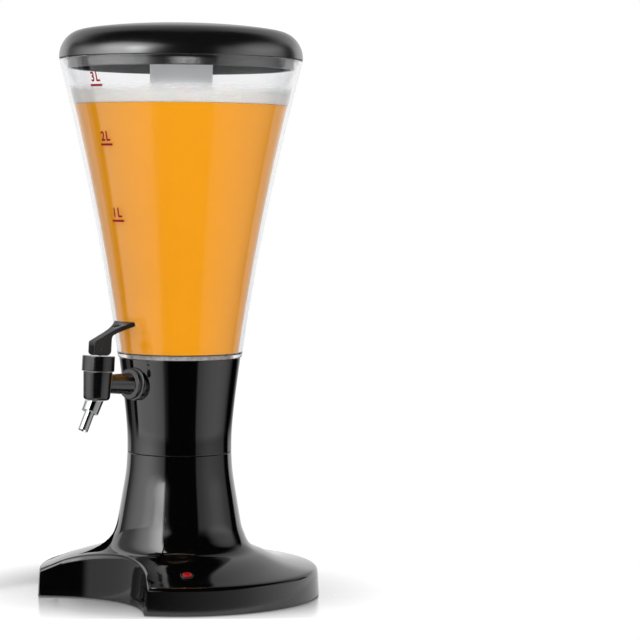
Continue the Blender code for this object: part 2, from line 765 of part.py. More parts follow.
def make_battery_compartment():
    """Cover, three round cells side by side and a contact strip at each end."""
    cover = place(block("battery_cover", *cover_place()), MATT_BLACK)
    head_top = PLATE_LIFT + SCREW_HEAD_HEIGHT + SEAT_GAP
    hole = [
        (0, plate_top),
        (PILOT_RADIUS, plate_top),
        (PILOT_RADIUS, head_top),
        (SCREW_HEAD_RADIUS + SEAT_GAP, head_top),
        (SCREW_HEAD_RADIUS + SEAT_GAP, PLATE_LIFT - CUT_OVERRUN),
        (0, PLATE_LIFT - CUT_OVERRUN),
    ]
    cut = turned("cover_hole_cut", hole, SMALL_STEPS)
    boolean(cover, place(cut, None, location=(0, cover_screw_y(), 0)))

    middle_height = battery_low() + BATTERY_RADIUS
    half = (BATTERY_LENGTH + BATTERY_NUB_LENGTH) / 2
    for number in range(1, BATTERY_COUNT + 1):
        x = (number - (BATTERY_COUNT + 1) / 2) * BATTERY_SPACING
        profile = [
            (0, half),
            (BATTERY_NUB_RADIUS, half),
            (BATTERY_NUB_RADIUS, half - BATTERY_NUB_LENGTH),
            (BATTERY_RADIUS, half - BATTERY_NUB_LENGTH),
            (BATTERY_RADIUS, -half),
            (0, -half),
        ]
        flip = math.pi / 2 if number % 2 else -math.pi / 2
        cell = turned(f"battery_{number}", profile)
        place(cell, BATTERY_GREY, location=(x, TUB_MIDDLE_Y, middle_height), rotation=(flip, 0, 0))

    low, high = tub_inside()
    for name, wall, side in (("contact_strip_front", low[1], 1), ("contact_strip_back", high[1], -1)):
        near = wall + side * SEAT_GAP
        far = near + side * CONTACT_THICKNESS
        strip_low = (low[0] + SEAT_GAP, min(near, far), middle_height - CONTACT_HEIGHT / 2)
        strip_high = (high[0] - SEAT_GAP, max(near, far), middle_height + CONTACT_HEIGHT / 2)
        place(block(name, strip_low, strip_high), STEEL)


def make_light():
    """Circuit board with its LEDs under a frosted lens, on the floor of the foot's socket."""
    board_low = socket_floor + SEAT_GAP
    board_top = board_low + BOARD_THICKNESS
    place(rod("light_board", BOARD_RADIUS, board_low, board_top), BOARD_GREEN)
    led_low = board_top + SEAT_GAP
    for number in range(1, LED_COUNT + 1):
        angle = 2 * math.pi * (number - 0.5) / LED_COUNT
        spot = (LED_CIRCLE_RADIUS * math.cos(angle), LED_CIRCLE_RADIUS * math.sin(angle), led_low)
        shoulder = LED_HEIGHT - LED_RADIUS
        dome = [(LED_RADIUS * r, shoulder + LED_RADIUS * z) for r, z in STEM_DOME_SHARES]
        led = turned(f"led_{number}", dome + [(LED_RADIUS, 0), (0, 0)], SMALL_STEPS)
        place(led, FROSTED, location=spot)
    lens_top = board_low + LENS_HEIGHT
    inside = LENS_RADIUS - LENS_WALL
    lens = [
        (0, lens_top),
        (LENS_RADIUS - LENS_EDGE, lens_top),
        (LENS_RADIUS, lens_top - LENS_EDGE),
        (LENS_RADIUS, board_low),
        (inside, board_low),
        (inside, lens_top - LENS_EDGE),
        (inside - LENS_EDGE + LENS_WALL, lens_top - LENS_WALL),
        (0, lens_top - LENS_WALL),
    ]
    place(turned("light_lens", lens, LENS_STEPS), FROSTED)


def switch_place():
    """Middle of the button on the foot's surface, and the surface's outward direction there."""
    x, out = rim_place(SWITCH_SHARES)
    y = -out
    step = SWITCH_FLANGE_RADIUS
    across = foot_top(x + step, y) - foot_top(x - step, y)
    along = foot_top(x, y + step) - foot_top(x, y - step)
    return foot_top(x, y), across.cross(along).normalized()


def make_switch(foot_shell):
    """Push button in a bright metal housing, standing square on the sloping foot."""
    spot, normal = switch_place()
    turn = Vector((0, 0, 1)).rotation_difference(normal).to_euler()
    axis = new_axis("button_axis", location=spot, rotation=turn)

    spotface = rod("spotface_cut", SWITCH_FLANGE_RADIUS + SEAT_GAP, -SEAT_GAP, CUT_OVERRUN)
    boolean(foot_shell, place(spotface, None, axis))
    hole = rod("switch_hole_cut", SWITCH_BARREL_RADIUS + SEAT_GAP, -2 * CUT_OVERRUN, CUT_OVERRUN)
    boolean(foot_shell, place(hole, None, axis))

    bore = BUTTON_RADIUS + SEAT_GAP
    housing = [
        (bore, SWITCH_FLANGE_HEIGHT),
        (SWITCH_FLANGE_RADIUS - SWITCH_FLANGE_EDGE, SWITCH_FLANGE_HEIGHT),
        (SWITCH_FLANGE_RADIUS, SWITCH_FLANGE_HEIGHT - SWITCH_FLANGE_EDGE),
        (SWITCH_FLANGE_RADIUS, 0),
        (SWITCH_BARREL_RADIUS, 0),
        (SWITCH_BARREL_RADIUS, -SWITCH_BARREL_LENGTH),
        (0, -SWITCH_BARREL_LENGTH),
        (0, SWITCH_FLOOR - SWITCH_BARREL_LENGTH),
        (bore, SWITCH_FLOOR - SWITCH_BARREL_LENGTH),
    ]
    place(turned_cup("switch_housing", housing, ROD_STEPS), CHROME, axis)

    nut_top = -FOOT_WALL - 2 * SEAT_GAP
    nut = rod("switch_nut", SWITCH_NUT_RADIUS, nut_top - SWITCH_NUT_HEIGHT, nut_top, NUT_SIDES)
    nut_hole = rod("switch_nut_cut", SWITCH_BARREL_RADIUS + RUNNING_GAP, -2 * CUT_OVERRUN, 0)
    boolean(place(nut, STEEL, axis), place(nut_hole, None, axis))

    cap = [
        (0, BUTTON_PROUD),
        (BUTTON_RADIUS - BUTTON_EDGE, BUTTON_PROUD),
        (BUTTON_RADIUS, BUTTON_PROUD - BUTTON_EDGE),
        (BUTTON_RADIUS, BUTTON_PROUD - BUTTON_LENGTH),
        (0, BUTTON_PROUD - BUTTON_LENGTH),
    ]
    place(turned("light_button", cap), RED, axis)
    spring_low = SWITCH_FLOOR - SWITCH_BARREL_LENGTH + SEAT_GAP
    spring_high = BUTTON_PROUD - BUTTON_LENGTH - SEAT_GAP
    spring = wound(
        "button_spring",
        BUTTON_SPRING_RADIUS,
        BUTTON_SPRING_WIRE_RADIUS,
        spring_low,
        spring_high,
        BUTTON_SPRING_TURNS,
    )
    place(spring, STEEL, axis)
    return axis


def turned_cup(name, profile, steps):
    """Turned solid whose outline meets the axis at two neighbouring points, first at its own start."""
    start = next(i for i, point in enumerate(profile) if point[0] == 0)
    return turned(name, profile[start + 1 :] + profile[: start + 1], steps)


def make_leads(button_axis):
    """Leads from the battery tub to the switch and from the switch up to the board."""
    bpy.context.view_layer.update()
    tail = button_axis.matrix_world @ Vector((0, 0, -SWITCH_BARREL_LENGTH - LEAD_RADIUS - SEAT_GAP))
    low, high = tub_inside()
    tub_roof = high[2] + TUB_WALL
    run_height = (tub_roof + plate_top) / 2
    start = (high[0] + TUB_WALL + SEAT_GAP, low[1] + COVER_TAB, run_height)
    end = tail + Vector((0, LEAD_RADIUS * 2, 0))
    middle_x = (start[0] + end.x) / 2
    battery_route = [start, (middle_x, start[1], run_height), (end.x, start[1], end.z), end]
    place(lead("battery_lead", battery_route), COPPER_RED)

    board_low = (WIRE_HOLE_OUT, 0, socket_floor - SEAT_GAP / 2)
    end = tail - Vector((LEAD_RADIUS * 2, 0, 0))
    lamp_route = [
        end,
        (end.x - SWITCH_BARREL_LENGTH, end.y / 2, end.z),
        (WIRE_HOLE_OUT, 0, end.z),
        (WIRE_HOLE_OUT, 0, FOOT_HEIGHT / 2),
        board_low,
    ]
    place(lead("lamp_lead", lamp_route), COPPER_RED)


def make_collar(shank_axis):
    """Collar shell: flared sleeve with a spigot into the foot and a flat boss for the tap's flange."""
    outer = collar_outline()
    spigot_radius = socket_radius - SEAT_GAP
    spigot_low = collar_base - SPIGOT_DEPTH
    solid = [(0, collar_top)] + outer + [
        (spigot_radius, collar_base),
        (spigot_radius, spigot_low),
        (0, spigot_low),
    ]
    shell = place(turned("collar_shell", solid, RING_STEPS), GLOSS_BLACK)
    boss_end = BOSS_FACE_OUT + COLLAR_BOSS_LENGTH
    boss = rod("collar_boss_form", COLLAR_BOSS_RADIUS, BOSS_FACE_OUT, boss_end)
    boolean(shell, place(boss, None, shank_axis), "UNION")

    spigot_inside = spigot_radius - SPIGOT_WALL
    inner = collar_outline(COLLAR_WALL)
    shoulder = collar_base + COLLAR_WALL
    hollow = [(0, collar_top + CUT_OVERRUN), (inner[0][0], collar_top + CUT_OVERRUN)]
    hollow += [point for point in inner if point[1] > shoulder]
    hollow += [(radius_of(inner, shoulder), shoulder), (spigot_inside, shoulder)]
    hollow += [(spigot_inside, spigot_low - CUT_OVERRUN), (0, spigot_low - CUT_OVERRUN)]
    boolean(shell, place(turned("collar_core", hollow, RING_STEPS), None))
    hole_radius = SHANK_RADIUS + SHANK_CLEARANCE
    hole = rod("collar_hole_cut", hole_radius, BOSS_FACE_OUT - CUT_OVERRUN, SHANK_LENGTH)
    boolean(shell, place(hole, None, shank_axis))


def make_container(shank_axis):
    """Clear container: curved cone over a ledge, with a well that stands in the collar."""
    well_radius_inset = COLLAR_WALL + SEAT_GAP
    well = collar_outline(well_radius_inset)
    well_bottom = well_floor - CONTAINER_FLOOR
    low_radius = radius_of(well, well_bottom + WELL_CORNER)
    outside = [point for point in well if well_bottom + WELL_CORNER < point[1] < collar_top]
    well_top_radius = well[0][0]
    solid = [(0, container_top)] + cone_outline()
    solid += [(well_top_radius, ledge_base)] + outside
    corner = (low_radius - WELL_CORNER, well_bottom + WELL_CORNER)
    solid += arc(corner, WELL_CORNER, 0, -90, CORNER_STEPS)
    solid.append((0, well_bottom))
    container = place(turned("container", solid, RING_STEPS), CLEAR)

    inside_corner = WELL_CORNER - CONTAINER_WALL / 2
    wall_low = low_radius - CONTAINER_WALL
    ring_inside = ICE_BOTTOM_RADIUS + SEAT_GAP
    ring_outside = ring_inside + TUBE_RING_WALL
    ring_top = well_floor + TUBE_RING_HEIGHT
    cone_inside = cone_outline(CONTAINER_WALL)
    ledge_top = ledge_base + LEDGE_THICKNESS
    hollow = [(0, container_top + CUT_OVERRUN), (cone_inside[0][0], container_top + CUT_OVERRUN)]
    hollow += [point for point in cone_inside if point[1] > ledge_top]
    hollow.append((radius_of(cone_inside, ledge_top), ledge_top))
    hollow.append((well_top_radius - CONTAINER_WALL, ledge_top))
    hollow += [(radius - CONTAINER_WALL, height) for radius, height in outside]
    corner = (wall_low - inside_corner, well_floor + inside_corner)
    hollow += arc(corner, inside_corner, 0, -90, CORNER_STEPS)
    hollow += [
        (ring_outside, well_floor),
        (ring_outside, ring_top),
        (ring_inside, ring_top),
        (ring_inside, well_floor),
        (0, well_floor),
    ]
    core = place(turned("container_core", hollow, RING_STEPS), None)
    pad = rod("tap_pad_form", PAD_FACE_RADIUS, BOSS_FACE_OUT, PAD_FACE_OUT)
    boolean(core, place(pad, None, shank_axis))
    boolean(container, core)
    hole_radius = SHANK_RADIUS + SHANK_CLEARANCE
    hole = rod("container_hole_cut", hole_radius, BOSS_FACE_OUT, SHANK_LENGTH)
    boolean(container, place(hole, None, shank_axis))


def make_ice_tube():
    """Tapered tube for ice with a closed bottom, standing in the container's ring."""
    low = well_floor + SEAT_GAP
    top = low + ICE_HEIGHT
    inside_corner = ICE_CORNER - ICE_WALL / 2
    profile = [(ICE_TOP_RADIUS, top)]
    profile += arc((ICE_BOTTOM_RADIUS - ICE_CORNER, low + ICE_CORNER), ICE_CORNER, 0, -90, CORNER_STEPS)
    profile.append((0, low))
    profile.append((0, low + ICE_FLOOR))
    inside_radius = ICE_BOTTOM_RADIUS - ICE_WALL
    inside_centre = (inside_radius - inside_corner, low + ICE_FLOOR + inside_corner)
    profile += arc(inside_centre, inside_corner, -90, 0, CORNER_STEPS)
    profile.append((ICE_TOP_RADIUS - ICE_WALL, top))
    place(turned_cup("ice_tube", profile, ICE_STEPS), CLEAR)


def make_lid():
    """Domed lid: one moulding with a plug skirt and a ring round the ice tube's mouth."""
    outer = [(share * LID_RADIUS, lid_base + up * LID_HEIGHT) for share, up in LID_SHARES]
    inner = offset(outer[1:-1], LID_WALL)[::2]
    ceiling = lid_base + LID_HEIGHT - LID_WALL
    skirt_inside = SKIRT_RADIUS - SKIRT_WALL
    skirt_low = lid_base - SKIRT_DROP
    ring_inside = ICE_TOP_RADIUS + 2 * SEAT_GAP
    ring_outside = ring_inside + LID_RING_WALL
    ring_low = well_floor + SEAT_GAP + ICE_HEIGHT - LID_RING_DROP
    wall_foot = (LID_RADIUS - LID_WALL, lid_base)
    channel = [point for point in inner[::-1] if point[0] > SKIRT_RADIUS + LID_WALL / 2]
    dome = [point for point in inner[::-1] if ring_outside < point[0] < skirt_inside]
    profile = outer + [wall_foot] + channel
    profile += [
        (SKIRT_RADIUS, height_of(inner, SKIRT_RADIUS)),
        (SKIRT_RADIUS, skirt_low),
        (skirt_inside, skirt_low),
        (skirt_inside, height_of(inner, skirt_inside)),
    ]
    profile += dome
    profile += [
        (ring_outside, ceiling),
        (ring_outside, ring_low),
        (ring_inside, ring_low),
        (ring_inside, ceiling),
        (0, ceiling),
    ]
    place(turned("lid", profile, RING_STEPS), LID_BLACK)


def make_tap_body(tap_axis, shank_axis, spout_axis):
    """Tap body with its valve chamber, threaded shank and flange, and the nipple for the spout."""
    neck_top = TAP_BODY_RISE + TAP_NECK_RISE
    corner_centre = (TAP_BODY_LOW_RADIUS - TAP_BODY_CORNER, TAP_BODY_CORNER - TAP_BODY_DROP)
    profile = [
        (0, neck_top),
        (TAP_NECK_RADIUS, neck_top),
        (TAP_NECK_RADIUS, TAP_BODY_RISE),
        (TAP_BODY_TOP_RADIUS, TAP_BODY_RISE),
    ]
    profile += arc(corner_centre, TAP_BODY_CORNER, 0, -90, CORNER_STEPS)
    profile.append((0, -TAP_BODY_DROP))
    body = place(turned("tap_body", profile, TAP_STEPS), TAP_BLACK, tap_axis)

    flange_low = BOSS_FACE_OUT - SEAT_GAP - OUTER_WASHER_THICKNESS - SEAT_GAP
    shank = [
        (0, SHANK_LENGTH),
        (SHANK_RADIUS, SHANK_LENGTH),
        (SHANK_RADIUS, flange_low),
        (FLANGE_RADIUS, flange_low),
        (FLANGE_RADIUS, flange_low - FLANGE_THICKNESS),
        (SHANK_END_RADIUS, flange_low - FLANGE_THICKNESS),
        (SHANK_START_RADIUS, 0),
        (0, 0),
    ]
    boolean(body, place(turned("shank_form", shank), None, shank_axis), "UNION")
    nipple = rod("nipple_form", NIPPLE_RADIUS, -NIPPLE_REACH, -SEAT_GAP)
    boolean(body, place(nipple, None, spout_axis), "UNION")
    chamber = rod("chamber_cut", CHAMBER_RADIUS, -CHAMBER_DROP, neck_top + CUT_OVERRUN)
    boolean(body, place(chamber, None, tap_axis))
    inlet = rod("inlet_cut", SHANK_BORE_RADIUS, 0, SHANK_LENGTH + CUT_OVERRUN)
    boolean(body, place(inlet, None, shank_axis))
    outlet = rod("outlet_cut", OUTLET_RADIUS, -NIPPLE_REACH - CUT_OVERRUN, 0)
    boolean(body, place(outlet, None, spout_axis))


def make_shank_fittings(shank_axis):
    """Washers on both sides of the wall and the nut that clamps the tap."""
    bore = SHANK_RADIUS + RUNNING_GAP
    outer_far = BOSS_FACE_OUT - SEAT_GAP
    inner_near = PAD_FACE_OUT + SEAT_GAP
    washers = (
        ("outer_washer", OUTER_WASHER_RADIUS, outer_far - OUTER_WASHER_THICKNESS, outer_far),
        ("inner_washer", INNER_WASHER_RADIUS, inner_near, inner_near + INNER_WASHER_THICKNESS),
    )
    for name, radius, near, far in washers:
        ring = [(radius, far), (radius, near), (bore, near), (bore, far)]
        place(turned(name, ring), RUBBER, shank_axis)
    nut_near = inner_near + INNER_WASHER_THICKNESS + SEAT_GAP
    nut = rod("shank_nut", SHANK_NUT_RADIUS, nut_near, nut_near + SHANK_NUT_THICKNESS, NUT_SIDES)
    nut_hole = rod("shank_nut_cut", bore, nut_near - CUT_OVERRUN, SHANK_LENGTH + CUT_OVERRUN)
    boolean(place(nut, WHITE, shank_axis), place(nut_hole, None, shank_axis))


def gland_low():
    """Underside of the gland disc, over the neck of the tap body."""
    return TAP_BODY_RISE + TAP_NECK_RISE + SEAT_GAP


def make_bonnet(tap_axis):
    """Bonnet nut, the gland disc that carries the spring, and the stem seal."""
    bore = STEM_RADIUS + SEAT_GAP
    cavity_radius = TAP_NECK_RADIUS + SEAT_GAP
    gland_top = gland_low() + GLAND_THICKNESS
    cavity_roof = gland_top + SEAT_GAP
    pocket_radius = SEAL_MIDDLE_RADIUS + SEAL_SECTION_RADIUS + SEAT_GAP
    pocket_roof = bonnet_top - BONNET_ROOF
    bonnet = [
        (bore, bonnet_top),
        (BONNET_RADIUS - BONNET_EDGE, bonnet_top),
        (BONNET_RADIUS, bonnet_top - BONNET_EDGE),
        (BONNET_RADIUS, bonnet_base),
        (cavity_radius, bonnet_base),
        (cavity_radius, cavity_roof),
        (pocket_radius, cavity_roof),
        (pocket_radius, pocket_roof),
        (bore, pocket_roof),
    ]
    place(turned("bonnet", bonnet, TAP_STEPS), TAP_BLACK, tap_axis)
    gland = [
        (TAP_NECK_RADIUS, gland_top),
        (TAP_NECK_RADIUS, gland_low()),
        (bore, gland_low()),
        (bore, gland_top),
    ]
    place(turned("gland_disc", gland), WHITE, tap_axis)
    seal_height = gland_top + SEAT_GAP + SEAL_SECTION_RADIUS
    section = arc((SEAL_MIDDLE_RADIUS, seal_height), SEAL_SECTION_RADIUS, 0, -360, SEAL_SECTION_STEPS)
    place(turned("stem_seal", section[:-1]), RUBBER, tap_axis)


def washer_top():
    """Upper side of the seat washer, closed on its seat."""
    return SEAT_GAP + SEAT_WASHER_THICKNESS - CHAMBER_DROP


def make_stem(tap_axis):
    """Valve stem with its flange and cross hole, and the rubber washer that closes the seat."""
    stem_axis = new_axis("stem_axis", tap_axis, (0, 0, pin_height))
    flange_low = washer_top() + SEAT_GAP - pin_height
    flange_top = flange_low + STEM_FLANGE_THICKNESS
    stub_low = flange_low - SEAT_WASHER_THICKNESS
    profile = [(STEM_RADIUS * r, STEM_RADIUS * z) for r, z in STEM_DOME_SHARES]
    profile += [
        (STEM_RADIUS, flange_top),
        (STEM_FLANGE_RADIUS, flange_top),
        (STEM_FLANGE_RADIUS, flange_low),
        (STEM_STUB_RADIUS, flange_low),
        (STEM_STUB_RADIUS, stub_low),
        (0, stub_low),
    ]
    stem = place(turned("valve_stem", profile), STEEL, stem_axis)
    boolean(stem, make_pin_hole("stem_pin_cut", stem_axis))

    washer_low = washer_top() - SEAT_WASHER_THICKNESS - pin_height
    bore = STEM_STUB_RADIUS + RUNNING_GAP
    ring = [
        (SEAT_WASHER_RADIUS, washer_low + SEAT_WASHER_THICKNESS),
        (SEAT_WASHER_RADIUS, washer_low),
        (bore, washer_low),
        (bore, washer_low + SEAT_WASHER_THICKNESS),
    ]
    place(turned("seat_washer", ring), RUBBER, stem_axis)

    spring_low = washer_top() + SEAT_GAP + STEM_FLANGE_THICKNESS + SEAT_GAP
    spring = wound(
        "tap_spring",
        TAP_SPRING_RADIUS,
        TAP_SPRING_WIRE_RADIUS,
        spring_low,
        gland_low() - SEAT_GAP,
        TAP_SPRING_TURNS,
    )
    place(spring, STEEL, tap_axis)
    return stem_axis


def make_pin_hole(name, axis):
    """Cutter for the pin's hole, across the tap."""
    reach = LEVER_HALF_WIDTH + CUT_OVERRUN
    hole = rod(name, PIN_RADIUS + RUNNING_GAP, -reach, reach, SMALL_STEPS)
    return place(hole, None, axis, rotation=(0, math.pi / 2, 0))


def lever_outline():
    """Side view of the lever as (towards the tower, up) points from its pin.

    The front corner is the involute that lifts the pin by the same amount for each degree.
    """
    rest = PIN_RISE - SEAT_GAP
    cam = []
    for step in range(LEVER_CAM_STEPS + 1):
        angle = LEVER_TRAVEL * step / LEVER_CAM_STEPS
        reach = rest + LEVER_LIFT_PER_RADIAN * angle
        out = -reach * math.sin(angle) - LEVER_LIFT_PER_RADIAN * math.cos(angle)
        up = -reach * math.cos(angle) + LEVER_LIFT_PER_RADIAN * math.sin(angle)
        cam.append((out, up))
    slope = math.tan(PADDLE_SLOPE)
    lift = PADDLE_THICKNESS / math.cos(PADDLE_SLOPE)

    def paddle_height(out):
        return PADDLE_END_RISE - (PADDLE_REACH - out) * slope

    nose_out = LEVER_NOSE - LEVER_FRONT
    nose = (nose_out, paddle_height(nose_out) - LEVER_NOSE / math.cos(PADDLE_SLOPE))
    under = paddle_height(LEVER_BACK) - lift
    corner = (LEVER_BACK - LEVER_CORNER, LEVER_CORNER - rest)
    end = (
        PADDLE_REACH + PADDLE_THICKNESS * math.sin(PADDLE_SLOPE),
        PADDLE_END_RISE - PADDLE_THICKNESS * math.cos(PADDLE_SLOPE),
    )
    outline = cam + [(-LEVER_FRONT, cam[-1][1] + PIN_RADIUS)]
    outline += arc(nose, LEVER_NOSE, 180, 90 + math.degrees(PADDLE_SLOPE), CORNER_STEPS)
    outline += [
        (PADDLE_REACH, PADDLE_END_RISE),
        end,
        (LEVER_BACK + PADDLE_FILLET, under + PADDLE_FILLET * slope),
        (LEVER_BACK, under - PADDLE_FILLET),
    ]
    return outline + arc(corner, LEVER_CORNER, 0, -90, CORNER_STEPS)


def paddle_plan():
    """Plan of the lever as (across, towards the tower) points: a block that flares into the paddle."""
    start = LEVER_BACK - LEVER_CORNER / 2
    end = PADDLE_REACH + PADDLE_THICKNESS
    side = [(LEVER_HALF_WIDTH, -LEVER_FRONT - CUT_OVERRUN)]
    for along, out in PADDLE_SHARES:
        half_width = LEVER_HALF_WIDTH + out * (PADDLE_HALF_WIDTH - LEVER_HALF_WIDTH)
        side.append((half_width, start + along * (PADDLE_REACH - start)))
    side.append((PADDLE_HALF_WIDTH, end + CUT_OVERRUN))
    return side + [(-across, along) for across, along in side[::-1]]


def make_lever(stem_axis):
    """Lever: side view and plan crossed, slotted for the stem and bored for its pin."""
    side_turn = Matrix(((0, 0, 1, 0), (1, 0, 0, 0), (0, 1, 0, 0), (0, 0, 0, 1)))
    lever = plate("tap_lever", lever_outline(), PADDLE_HALF_WIDTH + CUT_OVERRUN, side_turn)
    place(lever, TAP_BLACK, stem_axis)
    plan = plate("lever_plan_form", paddle_plan(), 2 * PADDLE_END_RISE)
    boolean(lever, place(plan, None, stem_axis), "INTERSECT")
    half_slot = STEM_RADIUS + SLOT_GAP
    slot_low = (-half_slot, -LEVER_FRONT - CUT_OVERRUN, -PIN_RISE - CUT_OVERRUN)
    slot_high = (half_slot, half_slot + RUNNING_GAP, half_slot + RUNNING_GAP)
    boolean(lever, place(block("lever_slot_cut", slot_low, slot_high), None, stem_axis))
    boolean(lever, make_pin_hole("lever_pin_cut", stem_axis))
    half_pin = LEVER_HALF_WIDTH - PIN_END_RECESS
    pin = rod("lever_pin", PIN_RADIUS, -half_pin, half_pin, SMALL_STEPS)
    place(pin, STEEL, stem_axis, rotation=(0, math.pi / 2, 0))


def make_spout(tap_axis, spout_axis):
    """Bright adapter on the nipple, cut flush with the body's underside, and the steel spout tube."""
    nipple_end = -NIPPLE_REACH - SEAT_GAP
    tube_top = nipple_end - ADAPTER_WEB
    socket = SPOUT_RADIUS + RUNNING_GAP
    nipple_bore = NIPPLE_RADIUS + RUNNING_GAP
    profile = [
        (nipple_bore, 0),
        (ADAPTER_TOP_RADIUS, 0),
        (ADAPTER_LOW_RADIUS, ADAPTER_EDGE - ADAPTER_REACH),
        (ADAPTER_LOW_RADIUS - ADAPTER_EDGE, -ADAPTER_REACH),
        (socket, -ADAPTER_REACH),
        (socket, tube_top),
        (OUTLET_RADIUS, tube_top),
        (OUTLET_RADIUS, nipple_end),
        (nipple_bore, nipple_end),
    ]
    adapter = place(turned("spout_adapter", profile), CHROME, spout_axis)
    underside = -TAP_BODY_DROP - SEAT_GAP
    flat_cut = rod("adapter_top_cut", 2 * TAP_BODY_TOP_RADIUS, underside, TAP_BODY_RISE)
    boolean(adapter, place(flat_cut, None, tap_axis))
    tube_high = tube_top - SEAT_GAP
    tube_low = tube_high - SPOUT_LENGTH
    bore = SPOUT_RADIUS - SPOUT_WALL
    tube = [(SPOUT_RADIUS, tube_high), (SPOUT_RADIUS, tube_low), (bore, tube_low), (bore, tube_high)]
    place(turned("spout_tube", tube), STEEL, spout_axis)


def make_tap():
    """Places the tap's axes and makes its pieces."""
    tap_axis = new_axis("tap_axis", None, (0, -TAP_OUT, tap_height), (-TAP_TILT, 0, 0))
    shank_axis = new_axis("shank_axis", tap_axis, (0, 0, 0), (-math.pi / 2, 0, 0))
    spout_axis = new_axis("spout_axis", tap_axis, (0, 0, -SPOUT_START_DROP), (-SPOUT_LEAN, 0, 0))
    make_tap_body(tap_axis, shank_axis, spout_axis)
    make_shank_fittings(shank_axis)
    make_bonnet(tap_axis)
    make_lever(make_stem(tap_axis))
    make_spout(tap_axis, spout_axis)
    return shank_axis


make_bottom_plate()
make_rubber_feet()
make_base_screws()
make_battery_compartment()
make_light()
make_leads(make_switch(make_foot()))
tap_shank = make_tap()
make_collar(tap_shank)
make_container(tap_shank)
make_ice_tube()
make_lid()
column_axis = new_axis("column_axis", None, (0, -COLUMN_FORWARD, 0))
for placed in (*parts.objects, *cutters.objects):
    if placed.parent is None and placed is not column_axis:
        placed.parent = column_axis
bpy.context.view_layer.update()
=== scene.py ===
"""Looks of the beer tower dispenser: smooth skins, drink, foam, litre marks, finishes, studio and camera.

Metres, +Z up. The tap and the bay for the glass face -Y.
"""

import math

import bmesh
import bpy
import numpy as np
from mathutils import Matrix, Vector, noise


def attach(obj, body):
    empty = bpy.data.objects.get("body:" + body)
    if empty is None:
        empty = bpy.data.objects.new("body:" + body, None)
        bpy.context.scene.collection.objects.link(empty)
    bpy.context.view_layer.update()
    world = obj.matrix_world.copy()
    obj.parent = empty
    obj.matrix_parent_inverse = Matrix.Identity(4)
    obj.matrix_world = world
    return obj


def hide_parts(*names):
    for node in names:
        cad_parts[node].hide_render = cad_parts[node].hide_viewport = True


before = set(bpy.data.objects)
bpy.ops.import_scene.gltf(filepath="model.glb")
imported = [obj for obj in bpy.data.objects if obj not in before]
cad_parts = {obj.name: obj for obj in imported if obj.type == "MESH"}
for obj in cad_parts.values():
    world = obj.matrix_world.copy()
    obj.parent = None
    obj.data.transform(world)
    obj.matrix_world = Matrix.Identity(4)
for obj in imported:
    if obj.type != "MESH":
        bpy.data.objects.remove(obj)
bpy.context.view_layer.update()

# Where the axis of the column stands. All other places are measured from it
COLUMN_AXIS = Vector((0, -0.0034, 0))

# Sizes of the model that the skins follow
SEAT_GAP = 0.0003
RIM_HALF_WIDTH = 0.1138
RIM_HALF_DEPTH = 0.1120
RIM_TOP_RADIUS = 0.1126
RIM_LIFT = 0.0008
NECK_RADIUS = 0.0416
FOOT_HEIGHT = 0.1142
FOOT_WALL = 0.0030
FLARE_LEAN = 0.0088
FLARE_LEAN_POWER = 1.5
SOCKET_FLOOR = 0.0981
BAY_RADIUS = 0.0830
BAY_DRAFT = 0.10
BAY_CENTRE_OUT = 0.1510
COLLAR_BASE = 0.1145
COLLAR_TOP = 0.1903
COLLAR_WALL = 0.0026
LEDGE_BASE = 0.1906
LEDGE_TOP = LEDGE_BASE + 0.0035
LEDGE_RADIUS = 0.0496
CONTAINER_TOP = 0.4265
CONTAINER_RIM_RADIUS = 0.0968
CONTAINER_WALL = 0.0024
WELL_FLOOR = 0.1528
LID_BASE = 0.4268
LID_RADIUS = 0.0968
LID_HEIGHT = 0.0275
SKIRT_RADIUS = 0.0898
ICE_LOW = 0.1531
ICE_TOP = 0.4436
ICE_LOW_RADIUS = 0.0202
ICE_TOP_RADIUS = 0.0254
DRINK_TOP = 0.3908
FOAM_TOP = 0.4090
BOSS_FACE_OUT = 0.0372
SHANK_LENGTH = 0.0590
SHANK_HOLE = 0.0081
BONNET_TOP = 0.0217
PIN_HEIGHT = 0.0267
PIN_HOLE = 0.00105
# Foot: (long half axis, height) from the seam to the rim's top
FLARE = (
    (0.0416, 0.1142), (0.0424, 0.1012), (0.0451, 0.0832), (0.0490, 0.0604), (0.0504, 0.0542),
    (0.0530, 0.0478), (0.0568, 0.0409), (0.0608, 0.0377), (0.0684, 0.0352), (0.0805, 0.0316),
    (0.0926, 0.0274), (0.1126, 0.0216),
)
COLLAR = ((0.0486, 0.1903), (0.0429, 0.1440), (0.0418, 0.1297), (0.0416, 0.1145))
# Lid: (share of its radius, share of its height), mirrored at the middle so that the top is smooth
LID_DOME = (
    (-0.440, 0.978), (0.000, 1.000), (0.440, 0.978), (0.640, 0.916), (0.775, 0.853), (0.871, 0.765),
    (0.930, 0.625), (0.970, 0.440), (0.991, 0.265), (1.000, 0.000),
)

# Axes of the tap and the button
TAP = Matrix.Translation((0, -0.0872, 0.1733)) @ Matrix.Rotation(math.radians(-3.5), 4, "X")
SHANK = TAP @ Matrix.Rotation(math.radians(-90), 4, "X")
SPOUT = TAP @ Matrix.Translation((0, 0, -0.0077)) @ Matrix.Rotation(math.radians(-23.5), 4, "X")
STEM = TAP @ Matrix.Translation((0, 0, PIN_HEIGHT))
BUTTON_SPOT = Vector((0.072604, -0.059248, 0.028740))
BUTTON_NORMAL = Vector((0.280262, -0.201157, 0.938610))
BUTTON = Matrix.Translation(BUTTON_SPOT) @ Vector((0, 0, 1)).rotation_difference(
    BUTTON_NORMAL
).to_matrix().to_4x4()

